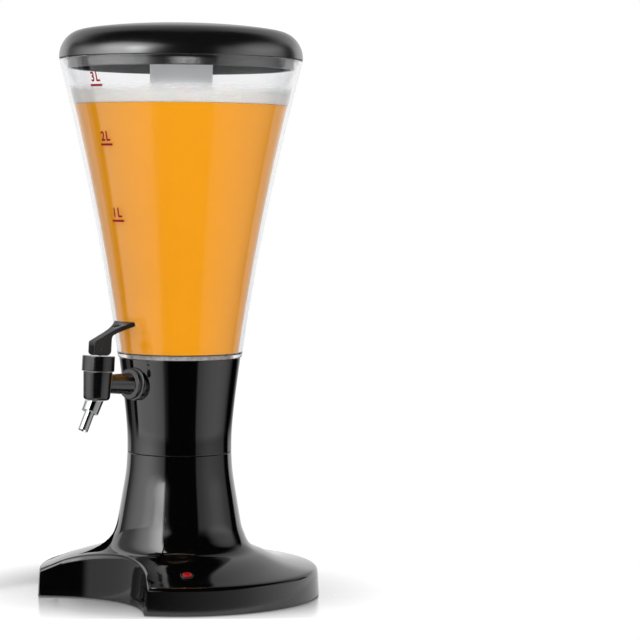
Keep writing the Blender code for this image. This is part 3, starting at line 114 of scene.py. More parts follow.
# Camera, its direction seen from the dispenser, and the direction to its right
FOCAL_LENGTH = 134.2
SENSOR_WIDTH = 36
PICTURE_WIDTH = 640
CAMERA_DISTANCE = 1.909
CAMERA_HEIGHT = 0.3325
CAMERA_TURN = math.radians(47)
TO_CAMERA = Vector((math.sin(CAMERA_TURN), -math.cos(CAMERA_TURN), 0))
TO_RIGHT = Vector((math.cos(CAMERA_TURN), math.sin(CAMERA_TURN), 0))


# Shader nodes


def fill(tree, node, inputs):
    """Set a node's inputs to plain values, or link them to other nodes' outputs."""
    for name, value in inputs.items():
        if isinstance(value, bpy.types.NodeSocket):
            tree.links.new(value, node.inputs[name])
        else:
            node.inputs[name].default_value = value
    return node


def add_node(tree, kind, inputs=None, **settings):
    """Shader node of a kind, with its settings and inputs."""
    node = tree.nodes.new("ShaderNode" + kind)
    for name, value in settings.items():
        setattr(node, name, value)
    return fill(tree, node, inputs or {})


def spot_on(tree):
    """Place on the piece, in its own coordinates."""
    return add_node(tree, "TexCoord").outputs["Object"]


def height_of(tree, vector):
    """Upright part of a vector."""
    return add_node(tree, "SeparateXYZ", {"Vector": vector}).outputs["Z"]


def length_of(tree, vector):
    """Length of a vector."""
    return add_node(tree, "VectorMath", {0: vector}, operation="LENGTH").outputs["Value"]


def reach_along(tree, vector, axis):
    """Reach of a vector along an axis."""
    return add_node(tree, "VectorMath", {0: vector, 1: axis}, operation="DOT_PRODUCT").outputs["Value"]


def turn_of(tree, vector):
    """Angle of a direction to the right of the camera, in degrees."""
    parts = [reach_along(tree, vector, axis) for axis in (TO_RIGHT, TO_CAMERA)]
    return math_node(tree, "MULTIPLY", math_node(tree, "ARCTAN2", *parts), 180 / math.pi)


def math_node(tree, operation, *values):
    """Result of a sum on plain numbers or other nodes' outputs."""
    return add_node(tree, "Math", dict(enumerate(values)), operation=operation).outputs["Value"]


def ranged(tree, value, start, end, low=0.0, high=1.0, course="LINEAR"):
    """Level that goes from low to high while a value goes from start to end."""
    limits = {"From Min": start, "From Max": end, "To Min": low, "To Max": high}
    return add_node(tree, "MapRange", {"Value": value, **limits}, interpolation_type=course).outputs["Result"]


def smooth(tree, value, start, end, low=0.0, high=1.0):
    """The same with a soft start and end."""
    return ranged(tree, value, start, end, low, high, "SMOOTHSTEP")


def level_along(tree, value, stops):
    """Level that follows a line through (value, level) points."""
    first, last = stops[0][0], stops[-1][0]
    brightest = max(level for _, level in stops)
    ramp = add_node(tree, "ValToRGB", {"Fac": ranged(tree, value, first, last)})
    marks = ramp.color_ramp.elements
    for mark, (_, level) in zip((marks[0], marks[1]), (stops[0], stops[-1])):
        mark.color = (*[level / brightest] * 3, 1)
    for place, level in stops[1:-1]:
        marks.new((place - first) / (last - first)).color = (*[level / brightest] * 3, 1)
    return math_node(tree, "MULTIPLY", ramp.outputs["Color"], float(brightest))


def tinted(tree, share, first, second):
    """Colour between two colours, by a share."""
    mix = add_node(tree, "Mix", {"Factor": share, "A": first, "B": second}, data_type="RGBA")
    return mix.outputs["Result"]


# Finishes


def new_material(name):
    material = bpy.data.materials.new(name)
    material.use_nodes = True
    return material, material.node_tree, material.node_tree.nodes["Principled BSDF"]


def finish(
    name, colour, roughness, grain=900.0, spread=0.0, rough_spread=0.0, bump=0.0, stretch=(1, 1, 1), **values
):
    """Principled finish whose colour, roughness and height vary with a noise on the piece."""
    material, tree, shader = new_material(name)
    fill(tree, shader, {socket.replace("_", " "): value for socket, value in values.items()})
    place = add_node(tree, "Mapping", {"Vector": spot_on(tree), "Scale": stretch}).outputs["Vector"]
    mottle = add_node(tree, "TexNoise", {"Vector": place, "Scale": grain, "Detail": 3.0}).outputs["Fac"]
    darker = (*[max(part * (1 - spread), 0) for part in colour], 1)
    paler = (*[part * (1 + spread) for part in colour], 1)
    if rough_spread:
        roughness = ranged(tree, mottle, 0, 1, max(roughness - rough_spread, 0), roughness + rough_spread)
    fill(tree, shader, {"Base Color": tinted(tree, mottle, darker, paler), "Roughness": roughness})
    if bump:
        relief = add_node(tree, "Bump", {"Strength": 1.0, "Distance": bump, "Height": mottle})
        fill(tree, shader, {"Normal": relief.outputs["Normal"]})
    return material


def drink_finish():
    """Amber drink: deeper towards the bottom, with faint upright painted streaks of light and shade that
    stand in for refraction in the wall, and a faint painted glow.
    """
    material, tree, shader = new_material("amber_drink")
    place = add_node(tree, "Mapping", {"Vector": spot_on(tree), "Scale": (26, 26, 1.2)}).outputs["Vector"]
    # Noise stretched upright: painted streaks of light and shade in place of refraction in the wall
    painted_refraction_streak = add_node(tree, "TexNoise", {"Vector": place, "Scale": 1.0, "Detail": 2.0}).outputs["Fac"]
    depth = ranged(tree, height_of(tree, spot_on(tree)), LEDGE_BASE, DRINK_TOP, 0.1, 0.4)
    share = math_node(tree, "MULTIPLY_ADD", painted_refraction_streak, 0.5, depth)
    amber = tinted(tree, share, (0.78, 0.300, 0.008, 1), (0.88, 0.360, 0.013, 1))
    # Emission in the amber colour at strength 0.25: a painted glow on the drink
    fill(tree, shader, {
        "Base Color": amber, "Emission Color": amber, "Emission Strength": 0.25, "Roughness": 0.30,
        "Specular IOR Level": 0.05, "Subsurface Weight": 0.15, "Subsurface Scale": 0.01,
        "Subsurface Radius": (1.0, 0.5, 0.1),
    })
    return material


def foam_finish():
    """White foam with fine bubbles, whiter and thinner towards its top."""
    material, tree, shader = new_material("white_foam")
    height = height_of(tree, spot_on(tree))
    bubbles = add_node(tree, "TexVoronoi", {"Vector": spot_on(tree), "Scale": 900.0}).outputs["Distance"]
    creamy = tinted(tree, bubbles, (0.93, 0.90, 0.86, 1), (0.87, 0.83, 0.77, 1))
    relief = add_node(tree, "Bump", {"Distance": 0.0002, "Height": bubbles}, invert=True)
    fill(tree, shader, {
        "Base Color": tinted(tree, ranged(tree, height, DRINK_TOP, FOAM_TOP), creamy, (0.95, 0.94, 0.93, 1)),
        "Alpha": smooth(tree, height, FOAM_TOP - 0.0010, FOAM_TOP - 0.0130),
        "Normal": relief.outputs["Normal"], "Roughness": 0.6, "Subsurface Weight": 0.5,
        "Subsurface Scale": 0.004,
    })
    return material


def tube_finish():
    """Frosted plastic that lets a little light through, with a painted white glow from its mouth down to the
    foam, and plain below.
    """
    material = finish(
        "frosted_ice_tube", (0.80, 0.80, 0.81), 0.42, 700, 0.03, 0.05, 0.00001, IOR=1.35,
        Transmission_Weight=0.15,
    )
    tree = material.node_tree
    height = height_of(tree, spot_on(tree))
    white = smooth(tree, height, FOAM_TOP + 0.0060, FOAM_TOP - 0.0110, 0.20, 0.50)
    upper = smooth(tree, height, DRINK_TOP - 0.0120, DRINK_TOP - 0.0010)
    # Emission from the tube's mouth down to the foam and none below the drink's top: a painted white glow
    fill(tree, tree.nodes["Principled BSDF"], {
        "Emission Color": (0.97, 0.985, 1.0, 1),
        "Emission Strength": math_node(tree, "MULTIPLY", white, upper),
    })
    return material


GLOSS_BLACK = finish(
    "gloss_black_moulding", (0.0015, 0.0015, 0.0018), 0.075, 220, 0.3, 0.02, 0.0, Specular_IOR_Level=1.0
)
SATIN_BLACK = finish("satin_black_moulding", (0.014, 0.014, 0.015), 0.48, 2600, 0.25, 0.08, 0.00003)
TAP_BLACK = finish(
    "tap_black_moulding", (0.0030, 0.0030, 0.0034), 0.17, 400, 0.3, 0.03, 0.0, Specular_IOR_Level=1.0
)
LEVER_GRAIN = finish("lever_black_grain", (0.006, 0.006, 0.0065), 0.46, 3200, 0.4, 0.10, 0.00008)
LID_BLACK = finish(
    "lid_black_moulding", (0.0030, 0.0030, 0.0034), 0.24, 300, 0.3, 0.02, 0.0, IOR=1.9, Specular_IOR_Level=1.0
)
CLEAR = finish(
    "clear_container", (0.955, 0.958, 0.964), 0.012, 60, 0.01, 0.008, 0.0, IOR=1.36, Transmission_Weight=1.0
)
FROSTED = tube_finish()
LENS = finish("frosted_lens", (0.86, 0.87, 0.90), 0.35, 900, 0.03, 0.05, 0.00001, Transmission_Weight=0.5)
CHROME = finish("polished_chrome", (0.50, 0.51, 0.52), 0.06, 500, 0.03, 0.02, 0.0, Metallic=1.0)
STEEL = finish(
    "brushed_steel", (0.55, 0.55, 0.56), 0.18, 900, 0.10, 0.06, 0.000002, (1, 1, 0.05), Metallic=1.0
)
BUTTON_RED = finish("button_red", (0.38, 0.005, 0.007), 0.22, 600, 0.08, 0.04, 0.0, Specular_IOR_Level=0.3)
NICKEL = finish("dark_nickel", (0.10, 0.10, 0.105), 0.30, 500, 0.10, 0.06, 0.0, Metallic=1.0)
# Grey for the ring in the container's ledge: a painted silvery reflection
LEDGE_PAINTED_SHEEN = finish("ledge_painted_reflection", (0.46, 0.47, 0.49), 0.30, 330, 0.9, 0.10, 0.0)
MARK_RED = finish("printed_red", (0.42, 0.008, 0.020), 0.35, 1500, 0.12, 0.05, 0.0, Specular_IOR_Level=0.1)
RUBBER = finish("black_rubber", (0.020, 0.020, 0.020), 0.80, 1500, 0.3, 0.08, 0.00005)
WHITE = finish("white_moulding", (0.74, 0.74, 0.72), 0.45, 900, 0.05, 0.08, 0.00002)
BOARD = finish("circuit_board_green", (0.015, 0.14, 0.05), 0.35, 1200, 0.3, 0.10, 0.00002)
CELL = finish("battery_jacket", (0.16, 0.17, 0.19), 0.30, 500, 0.15, 0.05, 0.0)
LEAD = finish("red_lead", (0.45, 0.03, 0.03), 0.45, 900, 0.1, 0.05, 0.0)
DRINK = drink_finish()
FOAM = foam_finish()


# Shaping


def smooth_path(points, count):
    """Natural cubic spline through the points, as count points evenly spread along it."""
    points = np.array(points, float)
    steps = np.hypot(*np.diff(points, axis=0).T)
    knots = np.concatenate([[0], np.cumsum(steps)])
    size = len(points)
    matrix = np.eye(size)
    right = np.zeros((size, 2))
    for i in range(1, size - 1):
        matrix[i, i - 1 : i + 2] = steps[i - 1], 2 * (steps[i - 1] + steps[i]), steps[i]
        slopes = (points[i + 1] - points[i]) / steps[i] - (points[i] - points[i - 1]) / steps[i - 1]
        right[i] = 6 * slopes
    bends = np.linalg.solve(matrix, right)
    result = []
    for place in np.linspace(0, knots[-1], count):
        i = min(int(np.searchsorted(knots, place, side="right")) - 1, size - 2)
        before = (knots[i + 1] - place) / steps[i]
        after = 1 - before
        square = steps[i] ** 2 / 6
        result.append(
            before * points[i]
            + after * points[i + 1]
            + square * ((before**3 - before) * bends[i] + (after**3 - after) * bends[i + 1])
        )
    return [tuple(point) for point in result]


def eased(profile, radius, least_turn=25, steps=4):
    """Profile with sharp corners rounded to about a radius, and a point on each side to hold the shading."""
    result = [profile[0]]
    for before, here, after in zip(profile, profile[1:], profile[2:]):
        corner, first, last = Vector(here), Vector(before), Vector(after)
        inward = first - corner
        outward = last - corner
        turn = math.pi - inward.angle(outward)
        if math.degrees(turn) < least_turn:
            result.append(here)
            continue
        reach = min(radius * math.tan(turn / 2), 0.4 * inward.length, 0.4 * outward.length)
        start = corner + inward.normalized() * reach
        end = corner + outward.normalized() * reach
        result.append(tuple(corner + inward.normalized() * min(reach * 1.5, 0.49 * inward.length)))
        for step in range(steps + 1):
            share = step / steps
            result.append(tuple(start.lerp(corner, share).lerp(corner.lerp(end, share), share)))
        result.append(tuple(corner + outward.normalized() * min(reach * 1.5, 0.49 * outward.length)))
    return result + [profile[-1]]


def piece_from(name, form, material, sharp=40):
    """Object made of a finished bmesh, smooth apart from edges sharper than an angle."""
    mesh = bpy.data.meshes.new(name)
    bmesh.ops.translate(form, vec=COLUMN_AXIS, verts=form.verts)
    form.to_mesh(mesh)
    form.free()
    mesh.shade_smooth()
    mesh.set_sharp_from_angle(angle=math.radians(sharp))
    piece = bpy.data.objects.new(name, mesh)
    bpy.context.scene.collection.objects.link(piece)
    if material:
        mesh.materials.append(material)
    return piece


def turned(name, profile, material, steps=96, matrix=None, loop=False, sharp=40):
    """Profile of (radius, height) points spun about Z, then moved by a matrix."""
    form = bmesh.new()
    points = [form.verts.new((radius, 0, height)) for radius, height in profile]
    lines = [form.edges.new(pair) for pair in zip(points, points[1:])]
    if loop:
        lines.append(form.edges.new((points[-1], points[0])))
    bmesh.ops.spin(
        form, geom=points + lines, axis=(0, 0, 1), cent=(0, 0, 0), angle=2 * math.pi, steps=steps,
        use_merge=True,
    )
    bmesh.ops.remove_doubles(form, verts=form.verts, dist=0.000002)
    bmesh.ops.recalc_face_normals(form, faces=form.faces)
    if matrix:
        bmesh.ops.transform(form, matrix=matrix, verts=form.verts)
    return piece_from(name, form, material, sharp)


def looped(profile, radius):
    """Closed profile with all its corners rounded."""
    middle = tuple((a + b) / 2 for a, b in zip(profile[-1], profile[0]))
    return eased([middle] + list(profile) + [middle], radius)[:-1]


def rod(name, radius, low, high, matrix, steps=64):
    """Plain cylinder for cutting or joining."""
    form = bmesh.new()
    bmesh.ops.create_cone(
        form, cap_ends=True, segments=steps, radius1=radius, radius2=radius, depth=high - low
    )
    bmesh.ops.translate(form, vec=(0, 0, (low + high) / 2), verts=form.verts)
    bmesh.ops.transform(form, matrix=matrix, verts=form.verts)
    return piece_from(name, form, None)


def joined(piece, operation, *others, sharp=40):
    """Piece with exact Booleans applied. The other shapes are used up."""
    for other in others:
        step = piece.modifiers.new(operation.lower(), "BOOLEAN")
        step.operation = operation
        step.solver = "EXACT"
        step.object = other
        graph = bpy.context.evaluated_depsgraph_get()
        mesh = bpy.data.meshes.new_from_object(piece.evaluated_get(graph))
        piece.modifiers.clear()
        old = piece.data
        piece.data = mesh
        mesh.name = piece.name
        bpy.data.meshes.remove(old)
        bpy.data.objects.remove(other)
    mesh = piece.data
    mesh.shade_smooth()
    mesh.set_sharp_from_angle(angle=math.radians(sharp))
    return piece


def cone_radius(height, inset=0.0):
    """Radius of the container's side at a height."""
    up = (height - LEDGE_BASE) / (CONTAINER_TOP - LEDGE_BASE)
    return LEDGE_RADIUS + (CONTAINER_RIM_RADIUS - LEDGE_RADIUS) * (0.697 * up + 0.303 * up * up) - inset


def cone_side(low, high, inset=0.0, count=40):
    """Side of the container from one height to another."""
    return [(cone_radius(height, inset), height) for height in np.linspace(low, high, count)]


def tube_radius(height):
    """Outer radius of the ice tube at a height."""
    share = (height - ICE_LOW) / (ICE_TOP - ICE_LOW)
    return ICE_LOW_RADIUS + (ICE_TOP_RADIUS - ICE_LOW_RADIUS) * share


def moved_in(path, distance):
    """Path moved sideways by a distance, to the left of its direction."""
    line = np.array(path)
    along = np.gradient(line, axis=0)
    along /= np.linalg.norm(along, axis=1)[:, None]
    return [tuple(point) for point in line + distance * np.stack([-along[:, 1], along[:, 0]], axis=1)]


# Foot

OVAL = (RIM_HALF_DEPTH - NECK_RADIUS) / (RIM_HALF_WIDTH - NECK_RADIUS)
FOOT_COLUMNS = 320
FLARE_ROWS = 44
INNER_ROWS = 14
RIM_ROWS = (0.04, 0.11, 0.19, 0.27, 0.35, 0.43, 0.51, 0.59, 0.67, 0.75, 0.83, 0.90, 0.96, 1.0)


def section(radius):
    """Half depth of a foot section of a long half axis, and how far the section stands forward."""
    out = (radius - NECK_RADIUS) / (RIM_HALF_WIDTH - NECK_RADIUS)
    forward = FLARE_LEAN * math.sin(math.pi * max(out, 0) ** FLARE_LEAN_POWER) ** 2
    return NECK_RADIUS + (radius - NECK_RADIUS) * OVAL, forward


def in_plan(radius, angle):
    """Place in plan on the foot section of a long half axis."""
    depth, forward = section(radius)
    return Vector((radius * math.cos(angle), depth * math.sin(angle) - forward))


def section_through(spot):
    """Long half axis and angle of the foot section over a place in plan."""
    low, high = NECK_RADIUS / 2, RIM_HALF_WIDTH * 1.2
    for _ in range(36):
        middle = (low + high) / 2
        depth, forward = section(middle)
        if (spot.x / middle) ** 2 + ((spot.y + forward) / depth) ** 2 < 1:
            high = middle
        else:
            low = middle
    return middle, math.atan2((spot.y + forward) / depth, spot.x / middle)


def to_bay(angle, bay):
    """Long half axis at which a line of the foot first meets a bay, or a large one where it misses."""
    if math.sin(angle) > -0.5:
        return 1.0
    low = NECK_RADIUS
    centre = Vector((0, -BAY_CENTRE_OUT))
    high = low
    while (in_plan(high, angle) - centre).length > bay:
        low = high
        high += 0.002
        if high > 0.16:
            return 1.0
    for _ in range(30):
        middle = (low + high) / 2
        if (in_plan(middle, angle) - centre).length > bay:
            low = middle
        else:
            high = middle
    return middle


def outline_radius(angle, rim, inset, height, tip=0.0022):
    """Long half axis at the edge of the foot: the oval rim or the bay, with rounded tips between them."""
    rim -= inset
    bay = to_bay(angle, BAY_RADIUS + BAY_DRAFT * height + inset)
    if bay > rim + 12 * tip:
        return rim, 0.0
    if bay < rim - 12 * tip:
        return bay, 1.0
    share = 1 / (1 + math.exp((bay - rim) / tip))
    return rim - tip * math.log(1 + math.exp((rim - bay) / tip)), share


def column_angles():
    """Angles of the foot's columns, closer together at the tips of the bay."""
    tips = [math.radians(-57.6), math.radians(-122.4)]
    fine = np.linspace(-math.pi, math.pi, 7201)
    density = np.ones_like(fine)
    for tip in tips:
        density += 9 * np.exp(-(((fine - tip) / math.radians(3.2)) ** 2))
    density[(fine > tips[1]) & (fine < tips[0])] += 0.8
    sums = np.concatenate([[0], np.cumsum((density[1:] + density[:-1]) / 2)])
    return np.interp(np.linspace(0, sums[-1], FOOT_COLUMNS + 1), sums, fine)


def foot_rows():
    """Points of the foot shell, row by row from the seam over the rim and back up inside."""
    path = np.array(smooth_path(FLARE, 500))
    shares = np.linspace(0, 1, 500)
    inner_path = np.array(moved_in(path, -FOOT_WALL))
    angles = column_angles()
    outline = []
    for angle in angles[:-1]:
        radius, bay_share = outline_radius(angle, RIM_TOP_RADIUS, 0, FLARE[-1][1])
        if bay_share:
            for _ in range(3):
                height = float(np.interp(radius, path[:, 0], path[:, 1]))
                radius, bay_share = outline_radius(angle, RIM_TOP_RADIUS, 0, height)
        outline.append((in_plan(radius, angle), bay_share))
    columns = []
    for i, angle in enumerate(angles):
        i %= FOOT_COLUMNS
        edge, bay_share = outline[i]
        along = outline[(i + 1) % FOOT_COLUMNS][0] - outline[i - 1][0]
        inward = Vector((-along.y, along.x)).normalized()
        fillet = 0.0030 + (0.0018 - 0.0030) * bay_share
        inner_radius, inner_angle = section_through(edge + inward * fillet)
        inner_angle = angle + (inner_angle - angle + math.pi) % (2 * math.pi) - math.pi
        end = float(np.interp(inner_radius, path[:, 0], shares))
        column = [(*in_plan(NECK_RADIUS - 0.0003, angle), FOOT_HEIGHT)]
        for row in range(FLARE_ROWS + 1):
            share = row / FLARE_ROWS
            place = end * share
            radius = float(np.interp(place, shares, path[:, 0]))
            height = float(np.interp(place, shares, path[:, 1]))
            turn = angle + (inner_angle - angle) * share * share
            column.append((*in_plan(radius, turn), height - (0.0003 if row == 0 else 0)))
        for step in range(1, 7):
            bend = math.radians(15 * step)
            spot = edge + inward * fillet * (1 - math.sin(bend))
            height = float(np.interp(section_through(spot)[0], path[:, 0], path[:, 1]))
            column.append((*spot, height - fillet * (1 - math.cos(bend))))
        top = column[-1][2]
        for share in RIM_ROWS:
            height = top + (RIM_LIFT + 0.0004 - top) * share
            rim = RIM_TOP_RADIUS + (RIM_HALF_WIDTH - RIM_TOP_RADIUS) * share
            column.append((*in_plan(outline_radius(angle, rim, 0, height)[0], angle), height))
        for inset in (0.0004, FOOT_WALL):
            spot = in_plan(outline_radius(angle, RIM_HALF_WIDTH, inset, RIM_LIFT)[0], angle)
            column.append((*spot, RIM_LIFT))
        radius = outline_radius(angle, RIM_TOP_RADIUS, FOOT_WALL, FLARE[-1][1])[0]
        end = float(np.interp(radius, inner_path[:, 0], shares))
        for row in range(INNER_ROWS, -1, -1):
            place = end * row / INNER_ROWS
            radius = float(np.interp(place, shares, inner_path[:, 0]))
            height = float(np.interp(place, shares, inner_path[:, 1]))
            column.append((*in_plan(radius, angle), height))
        column.append((*in_plan(NECK_RADIUS - FOOT_WALL, angle), FOOT_HEIGHT))
        column.append(column[0])
        columns.append(column)
    return columns


def make_foot():
    """Foot shell as one wrapped grid of flare, rounded rim, bay and inside, cut for the button."""
    columns = foot_rows()
    rows = len(columns[0]) - 1
    form = bmesh.new()
    bmesh.ops.create_grid(form, x_segments=FOOT_COLUMNS, y_segments=rows, size=1)
    for point in form.verts:
        column = round((point.co.x + 1) / 2 * FOOT_COLUMNS)
        row = round((point.co.y + 1) / 2 * rows)
        point.co = columns[column][row]
    bmesh.ops.remove_doubles(form, verts=form.verts, dist=0.00001)
    bmesh.ops.recalc_face_normals(form, faces=form.faces)
    skin = piece_from("foot_skin", form, GLOSS_BLACK)
    joined(
        skin,
        "DIFFERENCE",
        rod("spotface", 0.0055, -0.0003, 0.004, BUTTON),
        rod("switch_hole", 0.0048, -0.008, 0.004, BUTTON),
    )
    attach(skin, "base")
    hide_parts("foot_shell")
    low = SOCKET_FLOOR - FOOT_WALL
    floor = [(0.0030, low), (0.0030, SOCKET_FLOOR), (0.0390, SOCKET_FLOOR), (0.0390, low)]
    disc = turned("socket_floor", looped(floor, 0.0004), GLOSS_BLACK, loop=True)
    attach(disc, "base")


def make_button():
    """Red cap and its metal housing."""
    cap = [(0, 0.0018), (0.0020, 0.0017), (0.0031, 0.0014), (0.0036, 0.0009), (0.0036, -0.0052), (0, -0.0052)]
    button = turned("button_cap", eased(cap, 0.0003), BUTTON_RED, 48, BUTTON)
    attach(button, "button")
    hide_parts("light_button")
    cup = [
        (0.0038, -0.0115), (0.0038, 0.0010), (0.0052, 0.0008), (0.0052, 0), (0.0045, 0), (0.0045, -0.0125),
        (0, -0.0125),
    ]
    housing = turned("button_housing", eased(cup, 0.0003), NICKEL, 64, BUTTON)
    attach(housing, "base")
    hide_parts("switch_housing")


def make_lens():
    """Frosted lens of the light on the floor of the socket."""
    low = SOCKET_FLOOR + SEAT_GAP
    top = low + 0.0150
    lens = [
        (0, top), (0.0325, top), (0.0345, top - 0.0020), (0.0345, low), (0.0329, low),
        (0.0329, top - 0.0024), (0.0318, top - 0.0016), (0, top - 0.0016),
    ]
    cover = turned("lens_cover", eased(lens, 0.0012), LENS, 96)
    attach(cover, "base")
    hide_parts("light_lens")


def make_collar():
    """Collar with its spigot, and the flat boss for the tap."""
    outer = smooth_path(COLLAR, 60)
    inner = [(radius - COLLAR_WALL, height) for radius, height in outer]
    shoulder = COLLAR_BASE + COLLAR_WALL
    low = COLLAR_BASE - 0.0120
    solid = [(0, COLLAR_TOP), (COLLAR[0][0], COLLAR_TOP)] + outer[1:]
    solid += [(0.0383, COLLAR_BASE), (0.0383, low), (0, low)]
    skin = turned("collar_skin", eased(solid, 0.0004), GLOSS_BLACK, 192)
    hollow = [(0, COLLAR_TOP + 0.004), (inner[0][0], COLLAR_TOP + 0.004)]
    hollow += [point for point in inner if point[1] > shoulder + 0.0002]
    hollow += [(inner[-1][0], shoulder), (0.0359, shoulder), (0.0359, low - 0.004), (0, low - 0.004)]
    core = turned("collar_core", hollow, None, 192)
    hole = rod("collar_hole", SHANK_HOLE, BOSS_FACE_OUT - 0.004, SHANK_LENGTH, SHANK)
    joined(skin, "DIFFERENCE", core, hole)
    back = BOSS_FACE_OUT + 0.0085
    ring = [(0.0082, back), (0.0082, BOSS_FACE_OUT), (0.0130, BOSS_FACE_OUT), (0.0130, back)]
    boss = turned("collar_boss", looped(ring, 0.0012), GLOSS_BLACK, 96, SHANK, loop=True)
    boss.visible_glossy = False
    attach(boss, "tower")
    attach(skin, "tower")
    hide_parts("collar_shell")


def well_side(inset, low, count=16):
    """Side of the well inside the collar, from under the ledge down."""
    outer = smooth_path(COLLAR, 60)[::-1]
    heights = np.linspace(LEDGE_BASE - 0.0004, low, count)
    radii = np.interp(heights, [point[1] for point in outer], [point[0] for point in outer])
    return [(radius - COLLAR_WALL - SEAT_GAP - inset, height) for radius, height in zip(radii, heights)]


def make_container():
    """Clear container: curved cone, ledge, and the well inside the collar."""
    bottom = WELL_FLOOR - 0.0025
    well = well_side(0, bottom)
    inside = well_side(CONTAINER_WALL, WELL_FLOOR)
    profile = [(0, bottom), (well[-1][0], bottom)] + well[-2::-1] + [(well[0][0], LEDGE_BASE)]
    profile += cone_side(LEDGE_BASE, CONTAINER_TOP)
    profile += cone_side(CONTAINER_TOP, LEDGE_TOP, CONTAINER_WALL)
    profile += [(inside[0][0], LEDGE_TOP)] + inside + [(0.0223, WELL_FLOOR), (0.0223, WELL_FLOOR + 0.005)]
    profile += [(0.0205, WELL_FLOOR + 0.005), (0.0205, WELL_FLOOR), (0, WELL_FLOOR)]
    wall = turned("container_wall", eased(profile, 0.0009), CLEAR, 192, sharp=50)
    hole = rod("container_hole", SHANK_HOLE, BOSS_FACE_OUT, SHANK_LENGTH, SHANK)
    joined(wall, "DIFFERENCE", hole, sharp=50)
    wall.visible_shadow = False
    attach(wall, "tower")
    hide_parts("container")


def make_drink():
    """Drink in the container round the ice tube, a grey ring of painted reflection in the ledge, and the foam
    on it.
    """
    wall_gap = 0.0033
    bottom = LEDGE_TOP + 0.0003
    low = WELL_FLOOR + 0.0004
    sides = well_side(CONTAINER_WALL + 0.0004, low)
    profile = [(tube_radius(DRINK_TOP) + 0.0004, DRINK_TOP)]
    profile += cone_side(DRINK_TOP, bottom, wall_gap)
    profile += [(0.0408, bottom), (0.0408, LEDGE_BASE - 0.0010)]
    profile += [point for point in sides if point[1] < LEDGE_BASE - 0.0010]
    profile += [(0.0227, low), (0.0227, low + 0.0052), (tube_radius(low + 0.0052) + 0.0004, low + 0.0052)]
    drink = turned("drink", eased(profile, 0.0006), DRINK, 192, loop=True, sharp=50)
    joined(drink, "DIFFERENCE", rod("drink_notch", 0.0135, 0.0490, 0.0625, SHANK), sharp=50)
    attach(drink, "tower")
    # Grey ring in the clear ledge: a painted silvery reflection where the ledge sits on the collar
    seam = [
        (0.0412, LEDGE_BASE - 0.0006), (0.0427, LEDGE_BASE - 0.0006), (0.0427, LEDGE_BASE + 0.0032),
        (0.0412, LEDGE_BASE + 0.0032),
    ]
    air = turned("ledge_painted_reflection_ring", looped(seam, 0.0003), LEDGE_PAINTED_SHEEN, 192, loop=True)
    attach(air, "tower")

    base = DRINK_TOP + 0.0001
    head = [(tube_radius(base) + 0.0004, base)]
    head += cone_side(base, FOAM_TOP - 0.0015, wall_gap - 0.0004, 14)
    outer = cone_radius(FOAM_TOP, wall_gap + 0.0012)
    inner = tube_radius(FOAM_TOP) + 0.0012
    head += [(outer + (inner - outer) * share, FOAM_TOP) for share in np.linspace(0, 1, 40)]
    head += [(tube_radius(FOAM_TOP - 0.0015) + 0.0004, FOAM_TOP - 0.0015)]
    foam = turned("foam", head, FOAM, 192, loop=True, sharp=80)
    for point in foam.data.vertices:
        if point.co.z > FOAM_TOP - 0.0005:
            point.co.z += 0.0007 * noise.noise(point.co * 90) + 0.0003 * noise.noise(point.co * 400)
    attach(foam, "tower")


def make_ice_tube():
    """Frosted tapered tube with a closed bottom."""
    wall = 0.0020
    outer = [(tube_radius(height), height) for height in np.linspace(ICE_LOW, ICE_TOP, 24)]
    inner = [(radius - wall, height) for radius, height in outer[::-1]]
    floor = ICE_LOW + 0.0025
    profile = [(0, ICE_LOW)] + outer + inner[:-1] + [(ICE_LOW_RADIUS - wall, floor), (0, floor)]
    tube = turned("ice_tube_skin", eased(profile, 0.0008), FROSTED, 128, sharp=50)
    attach(tube, "ice")
    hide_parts("ice_tube")


def make_lid():
    """Domed lid with its plug skirt and the ring round the mouth of the ice tube."""
    dome = [(across * LID_RADIUS, LID_BASE + up * LID_HEIGHT) for across, up in LID_DOME]
    dome = [point for point in smooth_path(dome, 150) if point[0] > 0.0004]
    top = LID_BASE + LID_HEIGHT
    wall = 0.0026
    inner = [point for point in moved_in(dome, -wall)[::-1] if point[1] > LID_BASE + 0.0005]
    ceiling = top - wall

    def ceiling_at(radius):
        line = inner[::-1]
        return float(np.interp(radius, [point[0] for point in line], [point[1] for point in line]))

    skirt_low = LID_BASE - 0.0078
    ring_low = ICE_TOP - 0.0045
    profile = [(0, top)] + dome[:-1] + [(LID_RADIUS, LID_BASE), (LID_RADIUS - wall, LID_BASE)]
    skirt_inside = SKIRT_RADIUS - 0.0022
    profile += [point for point in inner if point[0] > SKIRT_RADIUS + 0.0008]
    profile += [(SKIRT_RADIUS, ceiling_at(SKIRT_RADIUS)), (SKIRT_RADIUS, skirt_low)]
    profile += [(skirt_inside, skirt_low), (skirt_inside, ceiling_at(skirt_inside))]
    profile += [point for point in inner if 0.0290 < point[0] < skirt_inside - 0.0010]
    profile += [(0.0278, ceiling), (0.0278, ring_low), (0.0260, ring_low), (0.0260, ceiling), (0, ceiling)]
    lid = turned("lid_skin", eased(profile, 0.0006), LID_BLACK, 192, sharp=50)
    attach(lid, "lid")
    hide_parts("lid")


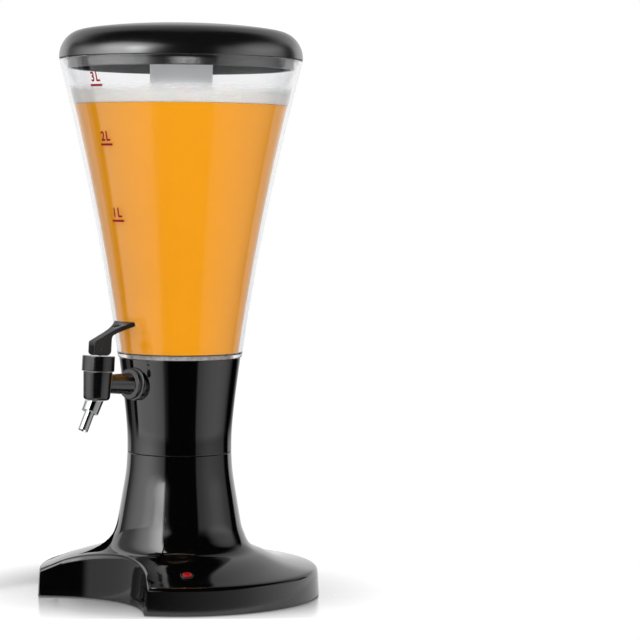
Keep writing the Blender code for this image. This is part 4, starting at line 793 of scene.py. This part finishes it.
def make_tap():
    """Tap body with its shank, bonnet, washer, spout adapter and spout tube."""
    body_profile = [(0, 0.0159), (0.0090, 0.0159), (0.0090, 0.0095), (0.0114, 0.0095)]
    body_profile += arc((0.00742, -0.0098), 0.0030, 0, -90, 5) + [(0, -0.0128)]
    body_profile = eased(body_profile, 0.0005, 40)
    body = turned("tap_body_skin", body_profile, TAP_BLACK, 96, TAP)
    flange_near = 0.0326
    shank = [
        (0, 0), (0.0070, 0), (0.0083, flange_near), (0.0120, flange_near), (0.0120, flange_near + 0.0025),
        (0.00775, flange_near + 0.0025), (0.00775, SHANK_LENGTH), (0, SHANK_LENGTH),
    ]
    joined(body, "UNION", turned("shank", eased(shank, 0.0007), None, 96, SHANK))
    joined(
        body,
        "DIFFERENCE",
        rod("chamber", 0.0065, -0.0093, 0.020, TAP),
        rod("inlet", 0.0040, 0.003, 0.063, SHANK),
        rod("outlet", 0.0029, -0.012, 0, SPOUT),
    )
    bonnet = [
        (0.0027, BONNET_TOP), (0.01265, BONNET_TOP), (0.01265, 0.0098), (0.0093, 0.0098), (0.0093, 0.0183),
        (0.0046, 0.0183), (0.0046, 0.0205), (0.0027, 0.0205),
    ]
    nut = turned("bonnet_skin", looped(bonnet, 0.0007), TAP_BLACK, 96, TAP, loop=True)
    far = BOSS_FACE_OUT - SEAT_GAP
    near = far - 0.0015
    ring = [(0.0115, far), (0.0115, near), (0.0079, near), (0.0079, far)]
    washer = turned("washer_skin", looped(ring, 0.0004), RUBBER, 96, SHANK, loop=True)
    adapter_profile = [
        (0.00495, 0), (0.0071, 0), (0.0066, -0.0158), (0.0040, -0.0158), (0.0040, -0.0133),
        (0.0029, -0.0133), (0.0029, -0.0124), (0.00495, -0.0124),
    ]
    adapter = turned("adapter_skin", looped(adapter_profile, 0.0005), CHROME, 96, SPOUT, loop=True)
    joined(adapter, "DIFFERENCE", rod("adapter_cut", 0.022, -0.0131, 0.010, TAP))
    tube_high = -0.0136
    tube_low = tube_high - 0.0176
    tube_profile = [(0.00385, tube_high), (0.00385, tube_low), (0.00305, tube_low), (0.00305, tube_high)]
    spout = turned("spout_skin", looped(tube_profile, 0.0003), STEEL, 96, SPOUT, loop=True)
    for piece, body_name, node, slot in (
        (body, "tower", "tap_body", "tap_black"),
        (nut, "tower", "bonnet", "tap_black"),
        (washer, "tower", "outer_washer", "rubber"),
        (adapter, "tower", "spout_adapter", "chrome"),
        (spout, "tower", "spout_tube", "steel"),
    ):
        piece.visible_glossy = False  # the collar's gloss stays plain
        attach(piece, body_name)
        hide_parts(node)


def flat(name, outline, half, matrix):
    """Closed outline in the XY plane, extruded both ways and moved by a matrix."""
    form = bmesh.new()
    face = form.faces.new([form.verts.new((across, up, -half)) for across, up in outline])
    raised = bmesh.ops.extrude_face_region(form, geom=[face])
    moved = [item for item in raised["geom"] if isinstance(item, bmesh.types.BMVert)]
    bmesh.ops.translate(form, vec=(0, 0, 2 * half), verts=moved)
    bmesh.ops.transform(form, matrix=matrix, verts=form.verts)
    bmesh.ops.recalc_face_normals(form, faces=form.faces)
    return piece_from(name, form, None)


def arc(centre, radius, start, end, steps):
    """Points of an arc, ends included."""
    angles = np.radians(np.linspace(start, end, steps + 1))
    return [(centre[0] + radius * math.cos(a), centre[1] + radius * math.sin(a)) for a in angles]


def make_lever():
    """Lever with its cam corner, block and flared paddle."""
    lift, travel, rest = 0.0034, math.radians(40), 0.0047
    cam = []
    for angle in np.linspace(0, travel, 15):
        reach = rest + lift * angle
        sine, cosine = math.sin(angle), math.cos(angle)
        cam.append((-reach * sine - lift * cosine, -reach * cosine + lift * sine))
    slope = math.radians(26.5)
    front, back, thickness = 0.0076, 0.0092, 0.0033
    tip_out, tip_height = 0.0250, 0.0222
    nose_radius, heel_radius = 0.0018, 0.0040

    def paddle_height(out):
        return tip_height - (tip_out - out) * math.tan(slope)

    nose_out = nose_radius - front
    nose = (nose_out, paddle_height(nose_out) - nose_radius / math.cos(slope))
    under = paddle_height(back) - thickness / math.cos(slope)
    start = Vector((back + 0.0026, under + 0.0026 * math.tan(slope)))
    corner = Vector((back, under))
    end = Vector((back, under - 0.0026))
    fillet = [tuple(start.lerp(corner, s).lerp(corner.lerp(end, s), s)) for s in np.linspace(0, 1, 7)]
    side = cam + [(-front, cam[-1][1] + 0.0009)] + arc(nose, nose_radius, 180, 116.5, 6)
    side += [(tip_out, tip_height)]
    side += [(tip_out + thickness * math.sin(slope), tip_height - thickness * math.cos(slope))]
    side += fillet + arc((back - heel_radius, heel_radius - rest), heel_radius, 0, -90, 8)
    side_turn = STEM @ Matrix(((0, 0, 1, 0), (1, 0, 0, 0), (0, 1, 0, 0), (0, 0, 0, 1)))
    lever = flat("lever_skin", side, 0.016, side_turn)
    flare_start = back - 0.0020
    shares = smooth_path([(0.0, 0.0), (0.25, 0.09), (0.5, 0.28), (0.72, 0.56), (0.9, 0.86), (1.0, 1.0)], 16)
    plan = [(0.0040, -0.0116), (0.0040, 0.0)]
    plan += [(0.0040 + out * 0.00765, flare_start + along * (tip_out - flare_start)) for along, out in shares]
    plan += [(0.01165, 0.0330)]
    plan += [(-across, along) for across, along in plan[::-1]]
    joined(lever, "INTERSECT", flat("lever_plan", plan, 0.045, STEM))
    slot = bmesh.new()
    bmesh.ops.create_cube(slot, size=1)
    bmesh.ops.scale(slot, vec=(0.0053, 0.0144, 0.0118), verts=slot.verts)
    bmesh.ops.translate(slot, vec=(0, 0.0028 - 0.0072, 0.0028 - 0.0059), verts=slot.verts)
    bmesh.ops.transform(slot, matrix=STEM, verts=slot.verts)
    across_turn = STEM @ Matrix.Rotation(math.radians(90), 4, "Y")
    form = bmesh.new()
    bmesh.ops.create_uvsphere(form, u_segments=32, v_segments=16, radius=1)
    bmesh.ops.scale(form, vec=(0.0042, 0.0030, 0.0009), verts=form.verts)
    spot = Matrix.Translation((0, 0.0165, paddle_height(0.0165) + 0.0003))
    bmesh.ops.transform(form, matrix=STEM @ spot @ Matrix.Rotation(slope, 4, "X"), verts=form.verts)
    joined(
        lever,
        "DIFFERENCE",
        piece_from("lever_slot", slot, None),
        rod("lever_pin_hole", PIN_HOLE, -0.008, 0.008, across_turn, 32),
        piece_from("lever_dimple", form, None),
        sharp=30,
    )
    lever.data.materials.clear()
    lever.data.materials.append(LEVER_GRAIN)
    lever.data.materials.append(TAP_BLACK)
    for face in lever.data.polygons:
        face.material_index = 1 if face.normal.z > 0.7 else 0
    edge = lever.modifiers.new("edges", "BEVEL")
    edge.width = 0.0004
    edge.segments = 2
    edge.limit_method = "ANGLE"
    edge.angle_limit = math.radians(40)
    edge.use_clamp_overlap = False
    edge.harden_normals = True
    lever.visible_glossy = False
    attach(lever, "lever")
    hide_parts("tap_lever")

    radius = 0.0024
    dome = arc((0, 0), radius, 90, 0, 10)
    low = -0.0356
    stem_profile = dome + [
        (radius, low + 0.0040), (0.0052, low + 0.0040), (0.0052, low + 0.0025), (0.0015, low + 0.0025),
        (0.0015, low), (0, low),
    ]
    stem_profile = [(0, dome[0][1])] + stem_profile[1:]
    stem = turned("stem_skin", stem_profile, STEEL, 64, STEM)
    joined(stem, "DIFFERENCE", rod("stem_pin_hole", PIN_HOLE, -0.008, 0.008, across_turn, 32))
    stem.visible_glossy = False
    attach(stem, "stem")
    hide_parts("valve_stem")


def make_mark(number, bar_height):
    """Printed litre mark wrapped on the container: figure, L and a bar under them."""
    words = bpy.data.curves.new("figures", "FONT")
    words.body = f"{number}L"
    words.align_x = "CENTER"
    words.size = 0.0100
    words.space_character = 1.25
    words.offset = 0.00030
    words.extrude = 0.00005
    drawn = bpy.data.objects.new("figures", words)
    bpy.context.scene.collection.objects.link(drawn)
    graph = bpy.context.evaluated_depsgraph_get()
    mesh = bpy.data.meshes.new_from_object(drawn.evaluated_get(graph))
    bpy.data.objects.remove(drawn)
    form = bmesh.new()
    form.from_mesh(mesh)
    bmesh.ops.scale(form, vec=(0.86, 1, 1), verts=form.verts)
    bmesh.ops.translate(form, vec=(0, 0.0031, 0), verts=form.verts)
    bar = bmesh.ops.create_cube(form, size=1)["verts"]
    bmesh.ops.scale(form, vec=(0.0130, 0.0017, 0.0001), verts=bar)
    bar_edges = dict.fromkeys(edge for point in bar for edge in point.link_edges)
    long_edges = [edge for edge in bar_edges if abs(edge.verts[0].co.x - edge.verts[1].co.x) > 0.01]
    bmesh.ops.subdivide_edges(form, edges=long_edges, cuts=12)
    turn = math.radians(1.4)
    for point in form.verts:
        across, up, out = point.co
        height = bar_height + up
        angle = turn + across / cone_radius(bar_height)
        radius = cone_radius(height) + out + 0.00008
        point.co = (radius * math.sin(angle), -radius * math.cos(angle), height)
    bmesh.ops.remove_doubles(form, verts=form.verts, dist=0.000005)
    bmesh.ops.recalc_face_normals(form, faces=form.faces)
    mark = piece_from(f"litre_mark_{number}", form, MARK_RED)
    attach(mark, "tower")


def dress_inner_nodes():
    """Finishes for the CAD nodes that stay as they are."""
    finishes = {
        SATIN_BLACK: ["bottom_plate", "battery_cover"],
        RUBBER: [
            "rubber_foot_1", "rubber_foot_2", "rubber_foot_3", "rubber_foot_4", "inner_washer", "stem_seal",
            "seat_washer",
        ],
        STEEL: [
            "base_screw_1", "base_screw_2", "base_screw_3", "base_screw_4", "cover_screw",
            "contact_strip_front", "contact_strip_back", "switch_nut", "button_spring", "tap_spring",
        ],
        LEVER_GRAIN: ["lever_pin"],
        CELL: ["battery_1", "battery_2", "battery_3"],
        LEAD: ["battery_lead", "lamp_lead"],
        BOARD: ["light_board"],
        LENS: ["led_1", "led_2", "led_3", "led_4"],
        WHITE: ["shank_nut", "gland_disc"],
    }
    for material, names in finishes.items():
        for name in names:
            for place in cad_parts[name].material_slots:
                place.link = "OBJECT"
                place.material = material


# Studio


def direction(turn):
    """Level direction at an angle to the right of the camera, seen from the dispenser."""
    angle = math.radians(turn)
    return TO_CAMERA * math.cos(angle) + TO_RIGHT * math.sin(angle)


def bare_material(name):
    material = bpy.data.materials.new(name)
    material.use_nodes = True
    material.node_tree.nodes.clear()
    return material, material.node_tree


def blended(tree, share, first, second):
    """Shader between two shaders, by a share."""
    return add_node(tree, "MixShader", {"Fac": share, 1: first, 2: second}).outputs["Shader"]


def make_card(name, reaches, heights, columns, stops, outward=((0, 1), (1, 1))):
    """Card curved round the dispenser that only gloss sees, and not from behind.

    Its glow follows (turn, glow) stops, times (distance, share) stops.
    """
    form = bmesh.new()
    bmesh.ops.create_grid(form, x_segments=columns, y_segments=1, size=1)
    for point in form.verts:
        across, along = (point.co.x + 1) / 2, (point.co.y + 1) / 2
        turn = stops[0][0] + (stops[-1][0] - stops[0][0]) * across
        place = direction(turn) * (reaches[0] + (reaches[1] - reaches[0]) * along)
        point.co = (place.x, place.y, heights[0] + (heights[1] - heights[0]) * along)
    form.faces.ensure_lookup_table()
    first = form.faces[0]
    first.normal_update()
    if first.normal.dot(first.calc_center_median()) > 0:
        bmesh.ops.reverse_faces(form, faces=form.faces)
    card = piece_from(name, form, None)
    material, tree = bare_material(name)
    spot = spot_on(tree)
    level = math_node(
        tree, "MULTIPLY", level_along(tree, turn_of(tree, spot), stops),
        level_along(tree, length_of(tree, spot), outward),
    )
    front = add_node(tree, "Emission", {"Strength": level}).outputs[0]
    back = add_node(tree, "BsdfTransparent").outputs[0]
    behind = add_node(tree, "NewGeometry").outputs["Backfacing"]
    add_node(tree, "OutputMaterial", {"Surface": blended(tree, behind, front, back)})
    card.data.materials.append(material)
    card.visible_camera = False
    card.visible_diffuse = False
    card.visible_transmission = False
    card.visible_shadow = False


def make_world(ambient):
    """White where the camera looks. In gloss a soft lamp left and right, and white behind the object."""
    world = bpy.data.worlds.new("studio")
    bpy.context.scene.world = world
    world.use_nodes = True
    tree = world.node_tree
    path = add_node(tree, "LightPath").outputs
    sky = add_node(tree, "TexCoord").outputs["Generated"]
    up = height_of(tree, sky)
    turn = turn_of(tree, sky)
    rise = math_node(tree, "MULTIPLY", math_node(tree, "ARCSINE", up), 180 / math.pi)

    def product(first, second):
        return math_node(tree, "MULTIPLY", first, second)

    def total(first, second):
        return math_node(tree, "ADD", first, second)

    def brighter(first, second):
        return math_node(tree, "MAXIMUM", first, second)

    def soft_lamp(turn_at, rise_at, half_turn, half_rise, level):
        across = math_node(tree, "DIVIDE", math_node(tree, "SUBTRACT", turn, turn_at), half_turn)
        along = math_node(tree, "DIVIDE", math_node(tree, "SUBTRACT", rise, rise_at), half_rise)
        return smooth(tree, total(product(across, across), product(along, along)), 1.0, 0.0, 0.0, level)

    # Bands left and right: over the horizon for the neck and collar, under it for the container
    over = level_along(tree, rise, [(-12, 0), (-7, 1.0), (5, 1.12), (12, 1.1), (22, 0.3), (32, 0)])
    under = smooth(tree, rise, -7, -12)
    left_over = level_along(tree, turn, [
        (-137, 0), (-136, 0.03), (-123, 0.20), (-107, 0.72), (-93.6, 1.05), (-81.7, 1.27), (-70.8, 1.32),
        (-60.6, 1.17), (-51, 0.92), (-41.6, 0.63), (-34, 0.40), (-30, 0),
    ])
    left_under = level_along(tree, turn, [
        (-127, 0), (-125, 0.2), (-113, 0.35), (-112, 0), (-103, 0), (-101, 1.1), (-60, 1.1), (-41, 0.85),
        (-35, 0.68), (-30, 0.15), (-22, 0),
    ])
    right_over = level_along(tree, turn, [
        (35, 0), (38, 0.28), (48, 0.36), (57, 0.46), (68, 0.52), (79, 0.48), (90, 0.42), (103, 0.32),
        (112, 0.25), (118, 0),
    ])
    right_under = level_along(tree, turn, [
        (34, 0), (38, 0.42), (53, 0.62), (67, 0.73), (84, 0.74), (100, 0.58), (112, 0.34), (120, 0.10),
        (125, 0),
    ])
    bands = total(
        product(over, total(left_over, right_over)), product(under, total(left_under, right_under))
    )
    lamps = total(soft_lamp(-53, 22, 42, 20, 1.60), soft_lamp(88, 22, 40, 20, 0.45))
    lamps = total(lamps, soft_lamp(-42, 15, 14, 9, 2.5))

    # White behind the object, fading upward
    onward = reach_along(tree, sky, -TO_CAMERA)
    narrow = smooth(tree, math_node(tree, "ABSOLUTE", turn), 133, 138)
    wide = product(smooth(tree, onward, 0.25, 0.75), smooth(tree, up, 0.30, 0.50))
    fading = level_along(tree, up, [
        (-0.16, 0), (-0.09, 1.0), (0.20, 1.0), (0.30, 0.66), (0.57, 0.44), (0.84, 0.24), (1.0, 0.08),
    ])
    around = brighter(product(fading, brighter(narrow, wide)), total(bands, lamps))

    # The camera and clear pieces see white, gloss sees the lamps, and the rest gets even light
    direct = math_node(tree, "LESS_THAN", path["Diffuse Depth"], 0.5)
    in_gloss = product(path["Is Glossy Ray"], direct)
    straight = math_node(tree, "GREATER_THAN", onward, 0.5)
    through = product(product(path["Is Transmission Ray"], direct), straight)
    white = brighter(brighter(path["Is Camera Ray"], through), product(in_gloss, around))
    even = product(math_node(tree, "SUBTRACT", 1.0, in_gloss), ambient)
    fill(tree, tree.nodes["Background"], {"Strength": brighter(white, even), "Color": (1, 1, 1, 1)})


def make_floor():
    """Pale floor, glossy near the foot, that fades into the white of the world."""
    form = bmesh.new()
    bmesh.ops.create_circle(form, cap_ends=True, segments=96, radius=0.75)
    floor = piece_from("floor", form, None)
    material, tree = bare_material("pale_floor")
    spot = spot_on(tree)
    far = length_of(tree, spot)
    sheen = ranged(tree, far, 0.215, 0.115)
    fall = level_along(tree, reach_along(tree, spot, TO_CAMERA), [
        (0.0, 0.86), (0.03, 0.83), (0.06, 0.75), (0.09, 0.58), (0.118, 0.36), (0.124, 0.0),
    ])
    lift = math_node(tree, "MULTIPLY", add_node(tree, "LightPath").outputs["Is Camera Ray"], 0.36)
    matt = add_node(tree, "BsdfDiffuse", {"Color": (0.97, 0.97, 0.97, 1)}).outputs[0]
    glow = add_node(tree, "Emission", {"Strength": lift}).outputs[0]
    pale = add_node(tree, "AddShader", {0: matt, 1: glow}).outputs[0]
    gloss = add_node(tree, "BsdfGlossy", {"Roughness": 0.12}).outputs[0]
    clear = add_node(tree, "BsdfTransparent").outputs[0]
    near = blended(tree, math_node(tree, "MULTIPLY", sheen, fall), pale, gloss)
    add_node(tree, "OutputMaterial", {"Surface": blended(tree, smooth(tree, far, 0.14, 0.42), near, clear)})
    floor.data.materials.append(material)


def make_lamp(name, place, size, power):
    """Soft square lamp aimed at the dispenser, left out of its gloss."""
    light = bpy.data.lights.new(name, "AREA")
    light.size = size
    light.energy = power
    lamp = bpy.data.objects.new(name, light)
    lamp.location = place
    lamp.rotation_euler = (Vector((0, 0, 0.2)) - Vector(place)).to_track_quat("-Z", "Y").to_euler()
    lamp.visible_glossy = False
    lamp.visible_camera = False
    bpy.context.scene.collection.objects.link(lamp)


def make_camera():
    """Camera at the photograph's angle, with the dispenser left of the middle."""
    lens = bpy.data.cameras.new("camera")
    lens.lens = FOCAL_LENGTH
    lens.sensor_width = SENSOR_WIDTH
    lens.clip_start = 0.05
    lens.clip_end = 30
    camera = bpy.data.objects.new("camera", lens)
    pixels = FOCAL_LENGTH / SENSOR_WIDTH * PICTURE_WIDTH
    camera.location = COLUMN_AXIS + TO_CAMERA * CAMERA_DISTANCE + Vector((0, 0, CAMERA_HEIGHT))
    look = -TO_CAMERA + TO_RIGHT * (140.15 / pixels) - Vector((0, 0, 140.5 / pixels))
    roll = Matrix.Rotation(math.radians(0.48), 4, "Z")
    camera.rotation_euler = (look.to_track_quat("-Z", "Y").to_matrix().to_4x4() @ roll).to_euler()
    bpy.context.scene.collection.objects.link(camera)
    bpy.context.scene.camera = camera


make_camera()
make_foot()
make_button()
make_lens()
make_collar()
make_container()
make_drink()
make_ice_tube()
make_lid()
make_tap()
make_lever()
for litres, bar_height in ((1, 0.2993), (2, 0.3583), (3, 0.4036)):
    make_mark(litres, bar_height)
dress_inner_nodes()
make_world(0.50)
make_floor()
make_card("foot_card", (0.20, 0.20), (0, 0.045), 96, [
    (-125, 0.38), (-61, 0.42), (-58, 0), (-24, 0), (-11, 0.05), (8, 0.13), (28, 0.25), (38, 0.35), (49, 0.52),
    (60, 0.68), (77, 0.84), (96, 0.94), (118, 0.98),
])
make_card("bay_card", (0.20, 0.20), (0, 0.020), 96, [(-152, 0.33), (-125, 0.38)])
make_card("flare_card", (0.10, 1.0), (0.24, 0.24), 64, [
    (-145, 1.2), (-128, 1.2), (-119, 0.35), (-100, 0.4), (-90, 0.6), (-75, 1.3), (-58, 2.1), (-42, 4.0),
    (-32, 5.0), (-28, 0),
], [(0.10, 1.0), (0.34, 1.0), (0.60, 1.0), (1.0, 0.9)])
make_lamp("top_lamp", (0, 0, 1.6), 1.6, 12)
make_lamp("front_lamp", tuple(direction(4) * 1.7 + Vector((0, 0, 0.9))), 0.7, 9)
bpy.context.scene.view_settings.view_transform = "Standard"
